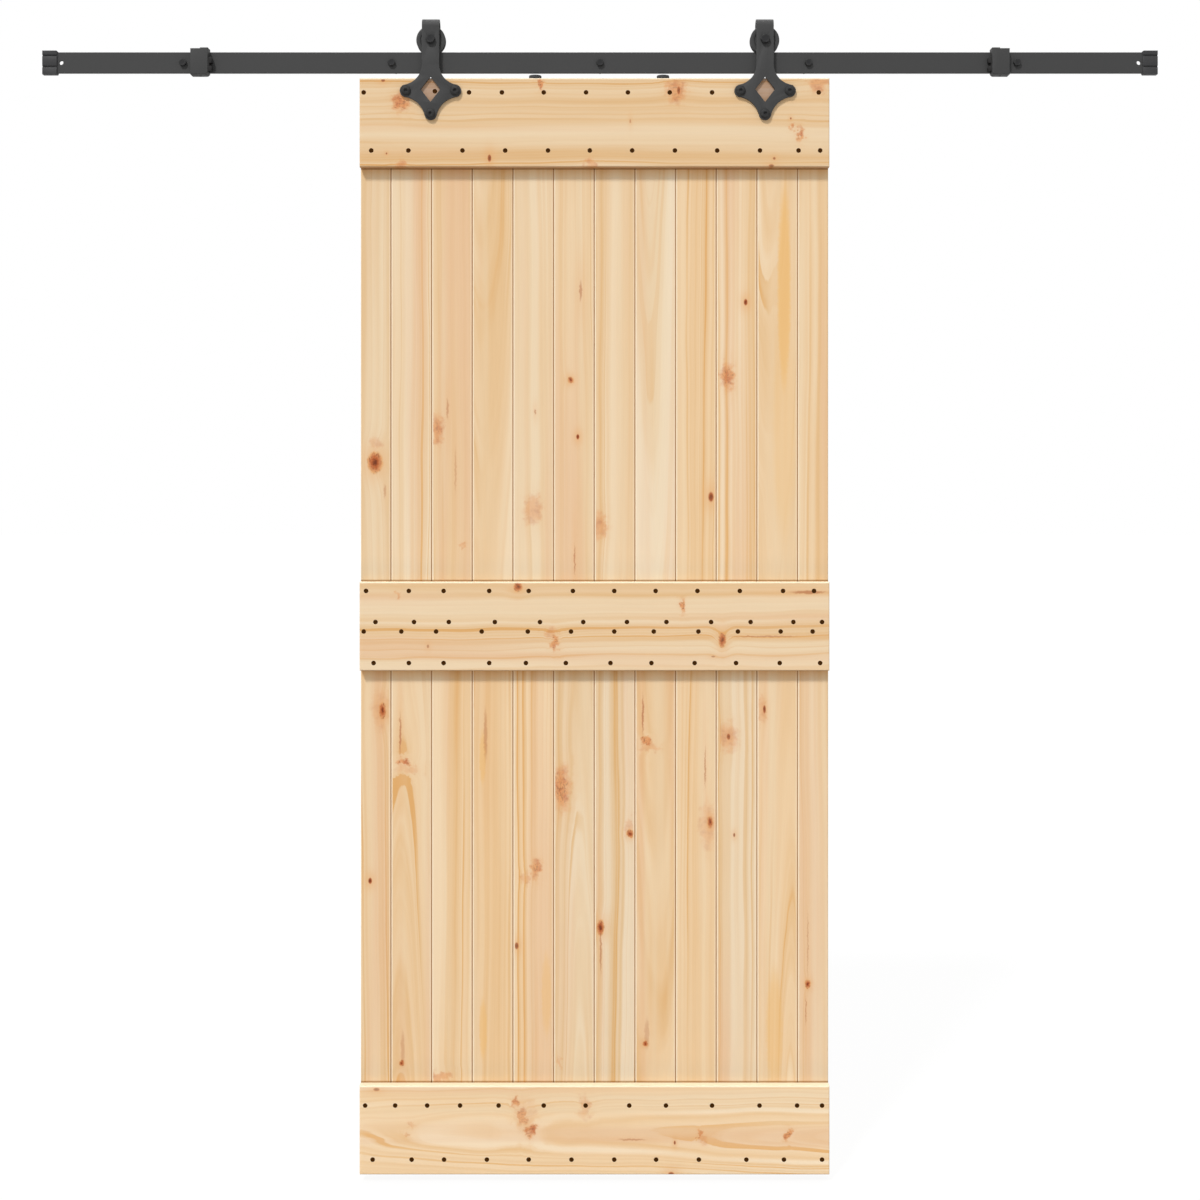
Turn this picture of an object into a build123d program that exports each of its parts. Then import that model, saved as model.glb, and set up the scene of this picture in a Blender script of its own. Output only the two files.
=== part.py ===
from build123d import *
import os
from math import sqrt

# Sliding barn door: a plank door that hangs from two strap hangers on a flat rail.
# Lengths are millimetres. X runs along the rail, Y from the front to the wall, Z up.
# The origin is on the wall plane, on the axis of the middle rail bolt.

# Fits shared by the whole part
CUT_OVERRUN = 2.0
FIT_CLEARANCE = 0.05
BOLT_CLEARANCE = 0.25
SLOT_CLEARANCE = 0.2
ROLL_CLEARANCE = 0.3
STOP_CLEARANCE = 0.5
SMALL_SIDES = 12
HEAD_SIDES = 16
SPACER_SIDES = 18

# Rail
RAIL_LENGTH = 2134.0
RAIL_HEIGHT = 40.0
RAIL_THICKNESS = 6.0
RAIL_CHAMFER = 0.6
RAIL_BOLT_INSET = 267.0
RAIL_BOLT_COUNT = 5
RAIL_END_HOLE_INSET = 33.0

# Wall bolts and their spacers
WALL_BOLT_RADIUS = 4.0
WALL_BOLT_HEAD_FLATS = 13.0
WALL_BOLT_HEAD_HEIGHT = 5.3
WALL_BOLT_EMBEDMENT = 42.0
SPACER_LENGTH = 32.0
SPACER_RADIUS = 11.0

# End caps
CAP_LENGTH = 29.0
CAP_END_WALL = 2.5
CAP_WALL = 2.75
CAP_CHAMFER = 1.8
CAP_GROOVE_WIDTH = 3.0
CAP_GROOVE_DEPTH = 1.8
CAP_GROOVE_SHARES = (0.29, -0.175)

# Stops
STOP_INSET = 317.0
STOP_WIDTH = 33.5
STOP_WALL = 5.0
STOP_FRONT_DEPTH = 12.0
STOP_LIP_THICKNESS = 3.0
STOP_LIP_REACH = 5.0
STOP_PAD_RISE = 1.5
STOP_PAD_WIDTH = 15.0
STOP_CORNER_RADIUS = 6.0
STOP_EDGE_CHAMFER = 1.0
BUMPER_REACH = 7.5
BUMPER_BASE = 2.5
BUMPER_DEPTH = 10.0
BUMPER_TOP = 8.5
BUMPER_NUB_CHAMFER = 1.6
UPPER_NUB_HEIGHT = 11.5
LOWER_NUB_HEIGHT = 8.6
NUB_GAP = 5.6
GRUB_SCREW_RADIUS = 3.0
GRUB_SCREW_RECESS = 0.5

# Door leaf
DOOR_WIDTH = 900.0
DOOR_HEIGHT = 2100.0
DOOR_REST_X = -10.5
DOOR_DROP = 11.0
PLANK_THICKNESS = 18.0
EDGE_PLANK_SHARE = 0.065
FULL_PLANKS = 10
TONGUE_LENGTH = 6.0
TONGUE_THICKNESS = 5.0
JOINT_CHAMFER = 1.4
BATTEN_HEIGHT = 170.0
BATTEN_THICKNESS = 18.0
BATTEN_EDGE_RADIUS = 2.5

# Batten screws, with rows from the batten's top and places from the leaf's left edge
SCREW_HEAD_RADIUS = 4.5
SCREW_HEAD_DEPTH = 3.0
SCREW_SHANK_RADIUS = 1.9
SCREW_LENGTH = 32.0
SCREW_STAND = 0.3
SCREW_SIDES = 6
WINDOW_SCREW_OFFSET = 8.0
TOP_ROW_SHARES = (0.163, 0.817)
TOP_PLACE_SHARES = (
    (0.009, 0.089, 0.233, 0.303, 0.392, 0.482, 0.571, 0.660, 0.750, 0.838, 0.917, 0.977),
    (0.025, 0.104, 0.219, 0.310, 0.401, 0.490, 0.580, 0.671, 0.761, 0.852, 0.934, 0.980),
)
MIDDLE_ROW_SHARES = (0.101, 0.451, 0.558, 0.913)
MIDDLE_PLACE_SHARES = (
    (0.014, 0.105, 0.179, 0.276, 0.360, 0.454, 0.542, 0.630, 0.719, 0.809, 0.901, 0.967),
    (0.034, 0.116, 0.190, 0.288, 0.384, 0.476, 0.569, 0.653, 0.748, 0.832, 0.923, 0.984),
    (0.009, 0.089, 0.163, 0.260, 0.358, 0.450, 0.542, 0.626, 0.721, 0.805, 0.896, 0.964),
    (0.030, 0.105, 0.179, 0.276, 0.354, 0.439, 0.534, 0.621, 0.713, 0.801, 0.894, 0.980),
)
BOTTOM_ROW_SHARES = (0.220, 0.829)
BOTTOM_PLACE_SHARES = (
    (0.012, 0.076, 0.144, 0.214, 0.296, 0.392, 0.481, 0.574, 0.652, 0.750, 0.851, 0.931, 0.984),
    (0.028, 0.111, 0.180, 0.271, 0.360, 0.451, 0.542, 0.631, 0.722, 0.823, 0.903, 0.984),
)

# Strap hangers
HANGER_SPACING_SHARE = 0.711
HANGER_OFFSET_X = 6.3
STRAP_WIDTH = 33.0
STRAP_THICKNESS = 5.0
STRAP_RISE = 41.0
FORK_GAP = 20.0
LOBE_LINE_DROP = 25.4
LOBE_REACH = 47.0
LOBE_DROP = 44.0
LOBE_RADIUS = 11.8
NECK_ARC_RADIUS = 40.0
SKIRT_ARC_RADIUS = 45.0
WINDOW_WIDTH = 38.0
WINDOW_HEIGHT = 48.5
WINDOW_LIFT = 2.8

# Hanger screws
HANGER_SCREW_RADIUS = 4.0
HANGER_SCREW_HEAD_RADIUS = 9.4
HANGER_SCREW_HEAD_HEIGHT = 4.2
HANGER_SCREW_SOCKET_FLATS = 6.0
HANGER_SCREW_SOCKET_DEPTH = 2.4
HANGER_SCREW_LENGTH = 36.0

# Wheels, bushes and axles
TREAD_RADIUS = 22.0
FLANGE_RADIUS = 28.0
WHEEL_WIDTH = 16.0
GROOVE_SIDE_CLEARANCE = 0.8
BUSH_RADIUS = 8.0
AXLE_RADIUS = 5.0
AXLE_HEAD_FLATS = 16.0
AXLE_HEAD_HEIGHT = 6.4
AXLE_NUT_HEIGHT = 8.0
AXLE_OVERHANG = 2.0

# Discs on the leaf's top edge that keep the wheels from jumping off the rail
DISC_SPACING = 245.5
DISC_OFFSET_X = 8.8
DISC_RADIUS = 12.0
DISC_THICKNESS = 6.5
DISC_SCREW_LENGTH = 26.0

# Depths, from the wall to the front
rail_back = -SPACER_LENGTH
rail_front = rail_back - RAIL_THICKNESS
rail_middle = (rail_back + rail_front) / 2
door_front = rail_middle - FORK_GAP / 2
strap_front = door_front - STRAP_THICKNESS
fork_back = rail_middle + FORK_GAP / 2
strap_back = fork_back + STRAP_THICKNESS
plank_front = door_front + BATTEN_THICKNESS
door_back = plank_front + PLANK_THICKNESS

# Heights, from the rail's middle
rail_top = RAIL_HEIGHT / 2
axle_height = rail_top + ROLL_CLEARANCE + TREAD_RADIUS
bend_radius = FORK_GAP / 2 + STRAP_THICKNESS
bend_height = axle_height + STRAP_RISE - bend_radius
door_top = -rail_top - DOOR_DROP
door_middle = door_top - DOOR_HEIGHT / 2
door_bottom = door_top - DOOR_HEIGHT
lobe_line = door_top - LOBE_LINE_DROP

# Places along the rail
door_left = DOOR_REST_X - DOOR_WIDTH / 2
hanger_middle = DOOR_REST_X + HANGER_OFFSET_X
hanger_half_spacing = HANGER_SPACING_SHARE * DOOR_WIDTH / 2
hanger_places = {"left": hanger_middle - hanger_half_spacing, "right": hanger_middle + hanger_half_spacing}
disc_middle = DOOR_REST_X + DISC_OFFSET_X
disc_places = (disc_middle - DISC_SPACING / 2, disc_middle + DISC_SPACING / 2)
stop_reach = RAIL_LENGTH / 2 - STOP_INSET
outer_bolt = RAIL_LENGTH / 2 - RAIL_BOLT_INSET
bolt_pitch = 2 * outer_bolt / (RAIL_BOLT_COUNT - 1)
rail_bolt_places = [i * bolt_pitch - outer_bolt for i in range(RAIL_BOLT_COUNT)]
neck_out = STRAP_WIDTH / 2 + NECK_ARC_RADIUS
neck_rise = sqrt((NECK_ARC_RADIUS + LOBE_RADIUS) ** 2 - (LOBE_REACH - neck_out) ** 2)
lobe_places = ((-LOBE_REACH, lobe_line), (LOBE_REACH, lobe_line), (0, lobe_line - LOBE_DROP))


def front_plane(y):
    """Plane that faces the viewer, with X across and Z up."""
    return Plane((0, y, 0), x_dir=(1, 0, 0), z_dir=(0, -1, 0))


def slab(outline, front, back):
    """Solid of a front-view outline between two depths."""
    return extrude(front_plane(back) * outline, amount=back - front)


def bar(section, left, right):
    """Solid of a side-view section, Y across and Z up, between two places along the rail."""
    return extrude(Plane((left, 0, 0), x_dir=(0, 1, 0), z_dir=(1, 0, 0)) * section, amount=right - left)


def area(left, right, bottom, top):
    """Rectangle between two places and two heights."""
    return Pos((left + right) / 2, (bottom + top) / 2) * Rectangle(right - left, top - bottom)


def hexagon(flats):
    """Hexagon sized across its flats."""
    return RegularPolygon(flats / 2, 6, major_radius=False)


def small_shank(radius):
    """Section of a small fastener's shank, faceted inside its circle."""
    return RegularPolygon(radius, SMALL_SIDES)


def small_bore(radius):
    """Section of a small fastener's hole, faceted outside its circle."""
    return RegularPolygon(radius, SMALL_SIDES, major_radius=False)


def write(name, *solids):
    """Write one named node, as one solid or as a group of separate solids."""
    node = solids[0] if len(solids) == 1 else Compound(children=list(solids))
    node.label = name
    export_step(node, f"parts/{name}.step")


def mirrored(body):
    """Same piece on the rail's other end."""
    return mirror(body, about=Plane.YZ)


def rail():
    """Flat bar with eased long edges, drilled for the wall bolts and once more near each end."""
    half = RAIL_LENGTH / 2
    section = area(rail_front, rail_back, -rail_top, rail_top)
    body = bar(chamfer(section.vertices(), RAIL_CHAMFER), -half, half)
    end_hole = half - RAIL_END_HOLE_INSET
    radius = WALL_BOLT_RADIUS + BOLT_CLEARANCE
    holes = [Pos(x, 0) * small_bore(radius) for x in rail_bolt_places]
    holes += [Pos(x, 0) * Circle(radius) for x in (-end_hole, end_hole)]
    for hole in holes:
        body -= slab(hole, rail_front - CUT_OVERRUN, rail_back + CUT_OVERRUN)
    return body


def wall_spacer(x):
    """Tube that holds the rail off the wall."""
    section = RegularPolygon(SPACER_RADIUS, SPACER_SIDES) - small_bore(WALL_BOLT_RADIUS + BOLT_CLEARANCE)
    return slab(Pos(x, 0) * section, rail_back, 0)


def wall_bolt(x):
    """Hexagon-headed bolt whose round shank stands out of the wall plane."""
    body = slab(hexagon(WALL_BOLT_HEAD_FLATS), rail_front - WALL_BOLT_HEAD_HEIGHT, rail_front)
    body += slab(small_shank(WALL_BOLT_RADIUS), rail_front, 0)
    body += slab(Circle(WALL_BOLT_RADIUS), 0, WALL_BOLT_EMBEDMENT)
    return Pos(x, 0, 0) * body


def end_cap():
    """Moulded cap on the rail's left end, with two grooves on each broad face."""
    outer_end = -RAIL_LENGTH / 2 - CAP_END_WALL
    inner_end = outer_end + CAP_LENGTH
    front = rail_front - CAP_WALL
    back = rail_back + CAP_WALL
    top = rail_top + CAP_WALL
    body = bar(area(front, back, -top, top), outer_end, inner_end)
    body = chamfer(body.faces().sort_by(Axis.X)[-1].edges(), CAP_CHAMFER)
    slot_front = rail_front - SLOT_CLEARANCE
    slot_back = rail_back + SLOT_CLEARANCE
    slot_top = rail_top + SLOT_CLEARANCE
    slot = area(slot_front, slot_back, -slot_top, slot_top)
    body -= bar(slot, -RAIL_LENGTH / 2, inner_end + CUT_OVERRUN)
    for share in CAP_GROOVE_SHARES:
        middle = share * 2 * top
        low = middle - CAP_GROOVE_WIDTH / 2
        high = middle + CAP_GROOVE_WIDTH / 2
        grooves = area(front - CUT_OVERRUN, front + CAP_GROOVE_DEPTH, low, high)
        grooves += area(back - CAP_GROOVE_DEPTH, back + CUT_OVERRUN, low, high)
        body -= bar(grooves, outer_end - CUT_OVERRUN, inner_end + CUT_OVERRUN)
    return body


def stop_block():
    """Left stop: a clamp that hooks round the rail, with a raised pad and a rounded inner corner."""
    inner = -stop_reach
    outer = inner - STOP_WIDTH
    front = rail_front - STOP_FRONT_DEPTH
    slot_back = rail_back + SLOT_CLEARANCE
    back = slot_back + STOP_LIP_THICKNESS
    top = rail_top + STOP_WALL
    slot_top = rail_top + SLOT_CLEARANCE
    mouth_top = rail_top - STOP_LIP_REACH
    pad_left = inner - STOP_PAD_WIDTH
    outline = area(outer, inner, -top, top) + area(pad_left, inner, top, top + STOP_PAD_RISE)
    low_corner = outline.vertices().sort_by(Axis.Y)[:2].sort_by(Axis.X)[-1]
    body = slab(fillet(low_corner, STOP_CORNER_RADIUS), front, back)
    body = chamfer(body.faces().sort_by(Axis.Y)[0].edges(), STOP_EDGE_CHAMFER)
    hollow = area(rail_front - SLOT_CLEARANCE, slot_back, -slot_top, slot_top)
    hollow += area(rail_back, back + CUT_OVERRUN, -mouth_top, mouth_top)
    body -= bar(hollow, outer - CUT_OVERRUN, inner + CUT_OVERRUN)
    drill = Pos((inner + outer) / 2, rail_middle, -top - CUT_OVERRUN)
    drill *= small_bore(GRUB_SCREW_RADIUS + FIT_CLEARANCE)
    return body - extrude(drill, amount=STOP_WALL + 2 * CUT_OVERRUN)


def grub_screw():
    """Headless screw that clamps the left stop against the rail's lower edge."""
    end = -rail_top - STOP_WALL + GRUB_SCREW_RECESS
    shank = Pos(-stop_reach - STOP_WIDTH / 2, rail_middle, end) * small_shank(GRUB_SCREW_RADIUS)
    return extrude(shank, amount=-rail_top - end)


def stop_bumper():
    """Rubber buffer with two nubs on the left stop's inner side."""
    seat = -stop_reach
    base = seat + BUMPER_BASE
    tip = seat + BUMPER_REACH
    upper_low = BUMPER_TOP - UPPER_NUB_HEIGHT
    lower_top = upper_low - NUB_GAP
    bottom = lower_top - LOWER_NUB_HEIGHT
    outline = area(seat, base, bottom, BUMPER_TOP)
    outline += area(seat, tip, upper_low, BUMPER_TOP) + area(seat, tip, bottom, lower_top)
    tips = outline.vertices().group_by(Axis.X)[-1]
    middle = rail_front - STOP_FRONT_DEPTH / 2
    return slab(chamfer(tips, BUMPER_NUB_CHAMFER), middle - BUMPER_DEPTH / 2, middle + BUMPER_DEPTH / 2)


def plank_edges():
    """Places of the plank joints across the leaf, with its two outer edges."""
    edge_plank = EDGE_PLANK_SHARE * DOOR_WIDTH
    cover = (DOOR_WIDTH - 2 * edge_plank) / FULL_PLANKS
    joints = [door_left + edge_plank + i * cover for i in range(FULL_PLANKS + 1)]
    return [door_left, *joints, door_left + DOOR_WIDTH]


def plank(left, right, low, high, grooved, tongued):
    """Upright board with chamfered front edges, a groove on its left and a tongue on its right."""
    outline = area(left, right, plank_front, door_back)
    outline = chamfer(outline.vertices().group_by(Axis.Y)[0], JOINT_CHAMFER)
    middle = (plank_front + door_back) / 2
    if grooved:
        half_groove = TONGUE_THICKNESS / 2 + SLOT_CLEARANCE
        groove_end = left + TONGUE_LENGTH + SLOT_CLEARANCE
        outline -= area(left - CUT_OVERRUN, groove_end, middle - half_groove, middle + half_groove)
    if tongued:
        half_tongue = TONGUE_THICKNESS / 2
        tongue_root = right - TONGUE_LENGTH
        outline += area(tongue_root, right + TONGUE_LENGTH, middle - half_tongue, middle + half_tongue)
    return extrude(Pos(0, 0, low) * outline, amount=high - low)


def batten(top):
    """Level board across the leaf's front, with eased front edges."""
    outline = area(door_left, door_left + DOOR_WIDTH, top - BATTEN_HEIGHT, top)
    body = slab(outline, door_front, plank_front)
    return fillet(body.faces().sort_by(Axis.Y)[0].edges(), BATTEN_EDGE_RADIUS)


def wood_screw(length):
    """Countersunk pointed screw along -Z, of flat facets, with its head's face at the origin."""
    spokes = [Vector(1, 0).rotate(Axis.Z, i * 360 / SCREW_SIDES) for i in range(SCREW_SIDES)]
    rim = [spoke * SCREW_HEAD_RADIUS for spoke in spokes]
    neck = [spoke * SCREW_SHANK_RADIUS - Vector(0, 0, SCREW_HEAD_DEPTH) for spoke in spokes]
    tip = Vector(0, 0, -length)
    facets = [Face(Wire.make_polygon(rim))]
    for i in range(SCREW_SIDES):
        facets.append(Face(Wire.make_polygon([rim[i - 1], rim[i], neck[i], neck[i - 1]])))
        facets.append(Face(Wire.make_polygon([neck[i - 1], neck[i], tip])))
    return Solid(Shell(facets))


def batten_screw_places():
    """Place and height of each batten screw that no hanger plate covers."""
    middle_top = door_middle + BATTEN_HEIGHT / 2
    bottom_top = door_bottom + BATTEN_HEIGHT
    tables = (
        (door_top, TOP_ROW_SHARES, TOP_PLACE_SHARES),
        (middle_top, MIDDLE_ROW_SHARES, MIDDLE_PLACE_SHARES),
        (bottom_top, BOTTOM_ROW_SHARES, BOTTOM_PLACE_SHARES),
    )
    cover = LOBE_REACH + LOBE_RADIUS + SCREW_HEAD_RADIUS
    plate_bottom = lobe_line - LOBE_DROP - LOBE_RADIUS - SCREW_HEAD_RADIUS
    places = [(hanger_places["left"] + WINDOW_SCREW_OFFSET, lobe_line)]
    for top, row_shares, place_shares in tables:
        for row_share, row in zip(row_shares, place_shares):
            z = top - row_share * BATTEN_HEIGHT
            for share in row:
                x = door_left + share * DOOR_WIDTH
                covered = any(abs(x - hanger) < cover for hanger in hanger_places.values())
                if not (covered and z > plate_bottom):
                    places.append((x, z))
    return places


def batten_screws():
    """All the screws that hold the planks to the battens."""
    screw = Rot(90, 0, 0) * wood_screw(SCREW_LENGTH)
    front = door_front - SCREW_STAND
    return [Pos(x, front, z) * screw for x, z in batten_screw_places()]


def towards(centre, radius, *targets):
    """Point on a circle that lies in the mean direction of the targets."""
    direction = sum(((target - centre).normalized() for target in targets), Vector(0, 0))
    return centre + direction.normalized() * radius


def plate_half_width(z):
    """Half width of the front plate at a height where it starts to spread."""
    drop = max(lobe_line + neck_rise - z, 0)
    return STRAP_WIDTH / 2 + NECK_ARC_RADIUS - sqrt(NECK_ARC_RADIUS**2 - drop**2)


def plate_outline():
    """Front plate about its lobe line: a strap that spreads in tangent arcs to three lobes."""
    half = STRAP_WIDTH / 2
    strap_top = bend_height - lobe_line
    side = Vector(-LOBE_REACH, 0)
    low = Vector(0, -LOBE_DROP)
    neck = Vector(-neck_out, neck_rise)
    span = low - side
    away = Vector(span.Y, -span.X).normalized()
    skirt_off = sqrt((SKIRT_ARC_RADIUS + LOBE_RADIUS) ** 2 - (span.length / 2) ** 2)
    skirt = (side + low) / 2 + away * skirt_off
    strap_foot = Vector(-half, neck_rise)
    side_upper = towards(side, LOBE_RADIUS, neck)
    side_lower = towards(side, LOBE_RADIUS, skirt)
    low_side = towards(low, LOBE_RADIUS, skirt)
    left_edges = [
        Line((-half, strap_top), strap_foot),
        ThreePointArc(strap_foot, towards(neck, NECK_ARC_RADIUS, strap_foot, side), side_upper),
        ThreePointArc(side_upper, side - Vector(LOBE_RADIUS, 0), side_lower),
        ThreePointArc(side_lower, towards(skirt, SKIRT_ARC_RADIUS, side, low), low_side),
    ]
    right_edges = [mirrored(edge) for edge in left_edges]
    tip = ThreePointArc(low_side, low - Vector(0, LOBE_RADIUS), Vector(-low_side.X, low_side.Y))
    top = Line((-half, strap_top), (half, strap_top))
    return make_face(left_edges + right_edges + [tip, top])


def window_outline():
    """Diamond opening in the front plate, about its lobe line."""
    half_width = WINDOW_WIDTH / 2
    half_height = WINDOW_HEIGHT / 2
    corners = ((half_width, 0), (0, half_height), (-half_width, 0), (0, -half_height))
    return Pos(0, WINDOW_LIFT) * make_face(Polyline(*corners, close=True))


def hanger_strap(x):
    """Flat bar bent over the wheel: a star-ended front plate, the bend and a short back leg."""
    half = STRAP_WIDTH / 2
    plate = Pos(0, lobe_line) * (plate_outline() - window_outline())
    for u, z in lobe_places:
        plate -= Pos(u, z) * small_bore(HANGER_SCREW_RADIUS + BOLT_CLEARANCE)
    bend = Circle(bend_radius) - Circle(FORK_GAP / 2)
    bend &= area(-bend_radius, bend_radius, 0, bend_radius)
    back_leg = area(-half, half, axle_height, bend_height) + Pos(0, axle_height) * Circle(half)
    strap = slab(plate, strap_front, door_front)
    strap += bar(Pos(rail_middle, bend_height) * bend, -half, half)
    strap += slab(back_leg, fork_back, strap_back)
    axle_hole = Pos(0, axle_height) * small_bore(AXLE_RADIUS + FIT_CLEARANCE)
    strap -= slab(axle_hole, strap_front - CUT_OVERRUN, strap_back + CUT_OVERRUN)
    return Pos(x, 0, 0) * strap


def hanger_screw(x, z):
    """Low round-headed screw with a hexagon socket, driven through the plate into the leaf."""
    top = strap_front - HANGER_SCREW_HEAD_HEIGHT
    end = strap_front + HANGER_SCREW_LENGTH
    body = slab(RegularPolygon(HANGER_SCREW_HEAD_RADIUS, HEAD_SIDES), top, strap_front)
    body += slab(small_shank(HANGER_SCREW_RADIUS), strap_front, end)
    body -= slab(hexagon(HANGER_SCREW_SOCKET_FLATS), top - CUT_OVERRUN, top + HANGER_SCREW_SOCKET_DEPTH)
    return Pos(x, 0, z) * body


def wheel(x):
    """Grooved wheel: a tread that rolls on the rail's edge between two flanges."""
    half_width = WHEEL_WIDTH / 2
    half_groove = RAIL_THICKNESS / 2 + GROOVE_SIDE_CLEARANCE
    bore = BUSH_RADIUS + FIT_CLEARANCE
    profile = Polyline(
        (bore, -half_width),
        (FLANGE_RADIUS, -half_width),
        (FLANGE_RADIUS, -half_groove),
        (TREAD_RADIUS, -half_groove),
        (TREAD_RADIUS, half_groove),
        (FLANGE_RADIUS, half_groove),
        (FLANGE_RADIUS, half_width),
        (bore, half_width),
        close=True,
    )
    return Pos(x, rail_middle, axle_height) * revolve(make_face(profile), Axis.Y)


def wheel_bush(x):
    """Steel sleeve clamped between the strap's legs, on which the wheel turns."""
    section = Circle(BUSH_RADIUS) - small_bore(AXLE_RADIUS + FIT_CLEARANCE)
    return slab(Pos(x, axle_height) * section, door_front, fork_back)


def axle_bolt(x):
    """Hexagon-headed bolt that carries one wheel."""
    end = strap_back + AXLE_NUT_HEIGHT + AXLE_OVERHANG
    head = slab(hexagon(AXLE_HEAD_FLATS), strap_front - AXLE_HEAD_HEIGHT, strap_front)
    return Pos(x, 0, axle_height) * (head + slab(small_shank(AXLE_RADIUS), strap_front, end))


def axle_nut(x):
    """Hexagon nut behind the strap's back leg."""
    section = hexagon(AXLE_HEAD_FLATS) - small_bore(AXLE_RADIUS + FIT_CLEARANCE)
    return slab(Pos(x, axle_height) * section, strap_back, strap_back + AXLE_NUT_HEIGHT)


def anti_jump_disc(x):
    """Disc on the leaf's top edge, bored and counterbored for its screw."""
    hole = small_bore(SCREW_SHANK_RADIUS + BOLT_CLEARANCE)
    mouth = small_bore(SCREW_HEAD_RADIUS + FIT_CLEARANCE)
    body = extrude(Circle(DISC_RADIUS) - hole, amount=DISC_THICKNESS)
    body -= extrude(Pos(0, 0, DISC_THICKNESS) * mouth, amount=-SCREW_HEAD_DEPTH)
    return Pos(x, door_front + DISC_RADIUS, door_top) * body


def disc_screw(x):
    """Screw that holds one disc down on the leaf's top edge."""
    return Pos(x, door_front + DISC_RADIUS, door_top + DISC_THICKNESS) * wood_screw(DISC_SCREW_LENGTH)


def write_track():
    """Write the rail and everything fixed to it."""
    write("rail", rail())
    write("wall_spacers", *[wall_spacer(x) for x in rail_bolt_places])
    write("wall_bolts", *[wall_bolt(x) for x in rail_bolt_places])
    write("stop_grub_screws", grub_screw(), mirrored(grub_screw()))
    for name, piece in (("end_cap", end_cap()), ("stop_block", stop_block()), ("stop_bumper", stop_bumper())):
        write(f"{name}_left", piece)
        write(f"{name}_right", mirrored(piece))


def write_leaf():
    """Write the planks, the battens, their screws and the discs on the leaf's top edge."""
    edges = plank_edges()
    last = len(edges) - 1
    for number in range(1, last + 1):
        sides = (edges[number - 1], edges[number])
        joints = (number > 1, number < last)
        write(f"upper_plank_{number:02d}", plank(*sides, door_middle, door_top, *joints))
        write(f"lower_plank_{number:02d}", plank(*sides, door_bottom, door_middle, *joints))
    write("top_batten", batten(door_top))
    write("middle_batten", batten(door_middle + BATTEN_HEIGHT / 2))
    write("bottom_batten", batten(door_bottom + BATTEN_HEIGHT))
    write("batten_screws", *batten_screws())
    write("anti_jump_discs", *[anti_jump_disc(x) for x in disc_places])
    write("disc_screws", *[disc_screw(x) for x in disc_places])


def write_hangers():
    """Write the hangers with their wheels, bushes and fasteners."""
    places = hanger_places.values()
    write("hanger_screws", *[hanger_screw(x + u, z) for x in places for u, z in lobe_places])
    write("wheel_bushes", *[wheel_bush(x) for x in places])
    write("axle_bolts", *[axle_bolt(x) for x in places])
    write("axle_nuts", *[axle_nut(x) for x in places])
    for side, x in hanger_places.items():
        write(f"hanger_strap_{side}", hanger_strap(x))
        write(f"wheel_{side}", wheel(x))


os.makedirs("parts", exist_ok=True)
write_track()
write_leaf()
write_hangers()
nub_end = BUMPER_TOP - UPPER_NUB_HEIGHT - NUB_GAP - LOWER_NUB_HEIGHT + BUMPER_NUB_CHAMFER
free_run = stop_reach - BUMPER_REACH - STOP_CLEARANCE - plate_half_width(nub_end)
print(f"slide {-free_run - hanger_places['left']:.1f} to {free_run - hanger_places['right']:.1f}")
print(f"axle height {axle_height:.2f}")
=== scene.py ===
"""Sliding barn door: finishes, detailed hardware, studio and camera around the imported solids."""

import logging
import math
import random
from dataclasses import dataclass
from enum import Enum
from typing import Iterable, Optional, Sequence, Union

import bmesh
import bpy
from mathutils import Euler, Matrix, Vector


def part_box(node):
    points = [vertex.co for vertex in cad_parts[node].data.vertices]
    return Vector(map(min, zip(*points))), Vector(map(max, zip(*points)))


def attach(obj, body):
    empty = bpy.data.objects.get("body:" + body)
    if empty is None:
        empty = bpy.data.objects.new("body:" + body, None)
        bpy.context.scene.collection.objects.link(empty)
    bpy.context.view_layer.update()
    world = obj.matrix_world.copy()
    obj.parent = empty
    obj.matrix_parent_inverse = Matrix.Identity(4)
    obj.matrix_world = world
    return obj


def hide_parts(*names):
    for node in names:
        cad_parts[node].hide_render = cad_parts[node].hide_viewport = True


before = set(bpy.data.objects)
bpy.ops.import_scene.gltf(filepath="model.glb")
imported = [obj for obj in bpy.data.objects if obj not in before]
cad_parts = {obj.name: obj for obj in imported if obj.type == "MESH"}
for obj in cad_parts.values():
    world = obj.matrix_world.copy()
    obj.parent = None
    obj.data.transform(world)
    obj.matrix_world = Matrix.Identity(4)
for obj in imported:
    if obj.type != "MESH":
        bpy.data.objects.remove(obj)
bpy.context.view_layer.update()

LOG = logging.getLogger("barn_door")
MM = 0.001
NodeSocket = bpy.types.NodeSocket
NodeValue = Union[float, Sequence[float], NodeSocket]
Colour = tuple[float, float, float]

SIDES = ("left", "right")
BATTENS = ("top_batten", "middle_batten", "bottom_batten")
# Lightness and warmth of each batten.
BATTEN_TINTS = {"top_batten": (0.95, 0.05), "middle_batten": (0.985, 0.015), "bottom_batten": (1.09, -0.035)}
PLANK_SEED = 100
BATTEN_SEED = 300
SCREW_SEED = 7

TO_FRONT = Matrix.Rotation(math.pi / 2, 4, "X")
TO_TOP = Matrix.Identity(4)
TO_FLOOR = Matrix.Rotation(math.pi, 4, "X")
CROWN_SLOPE = math.tan(math.radians(30))
CROSS_ARM_SHARE = 0.26
CROSS_TIP_SHARE = 0.95
THREAD_FOOT_SHARE = 0.3
THREAD_CREST_SHARE = 0.06
# How far a thread's foot is sunk into its shank, in millimetres.
THREAD_SINK = 0.15
SMOOTH_UP_TO = math.radians(27)
TUBE_FACETS = 40


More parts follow.
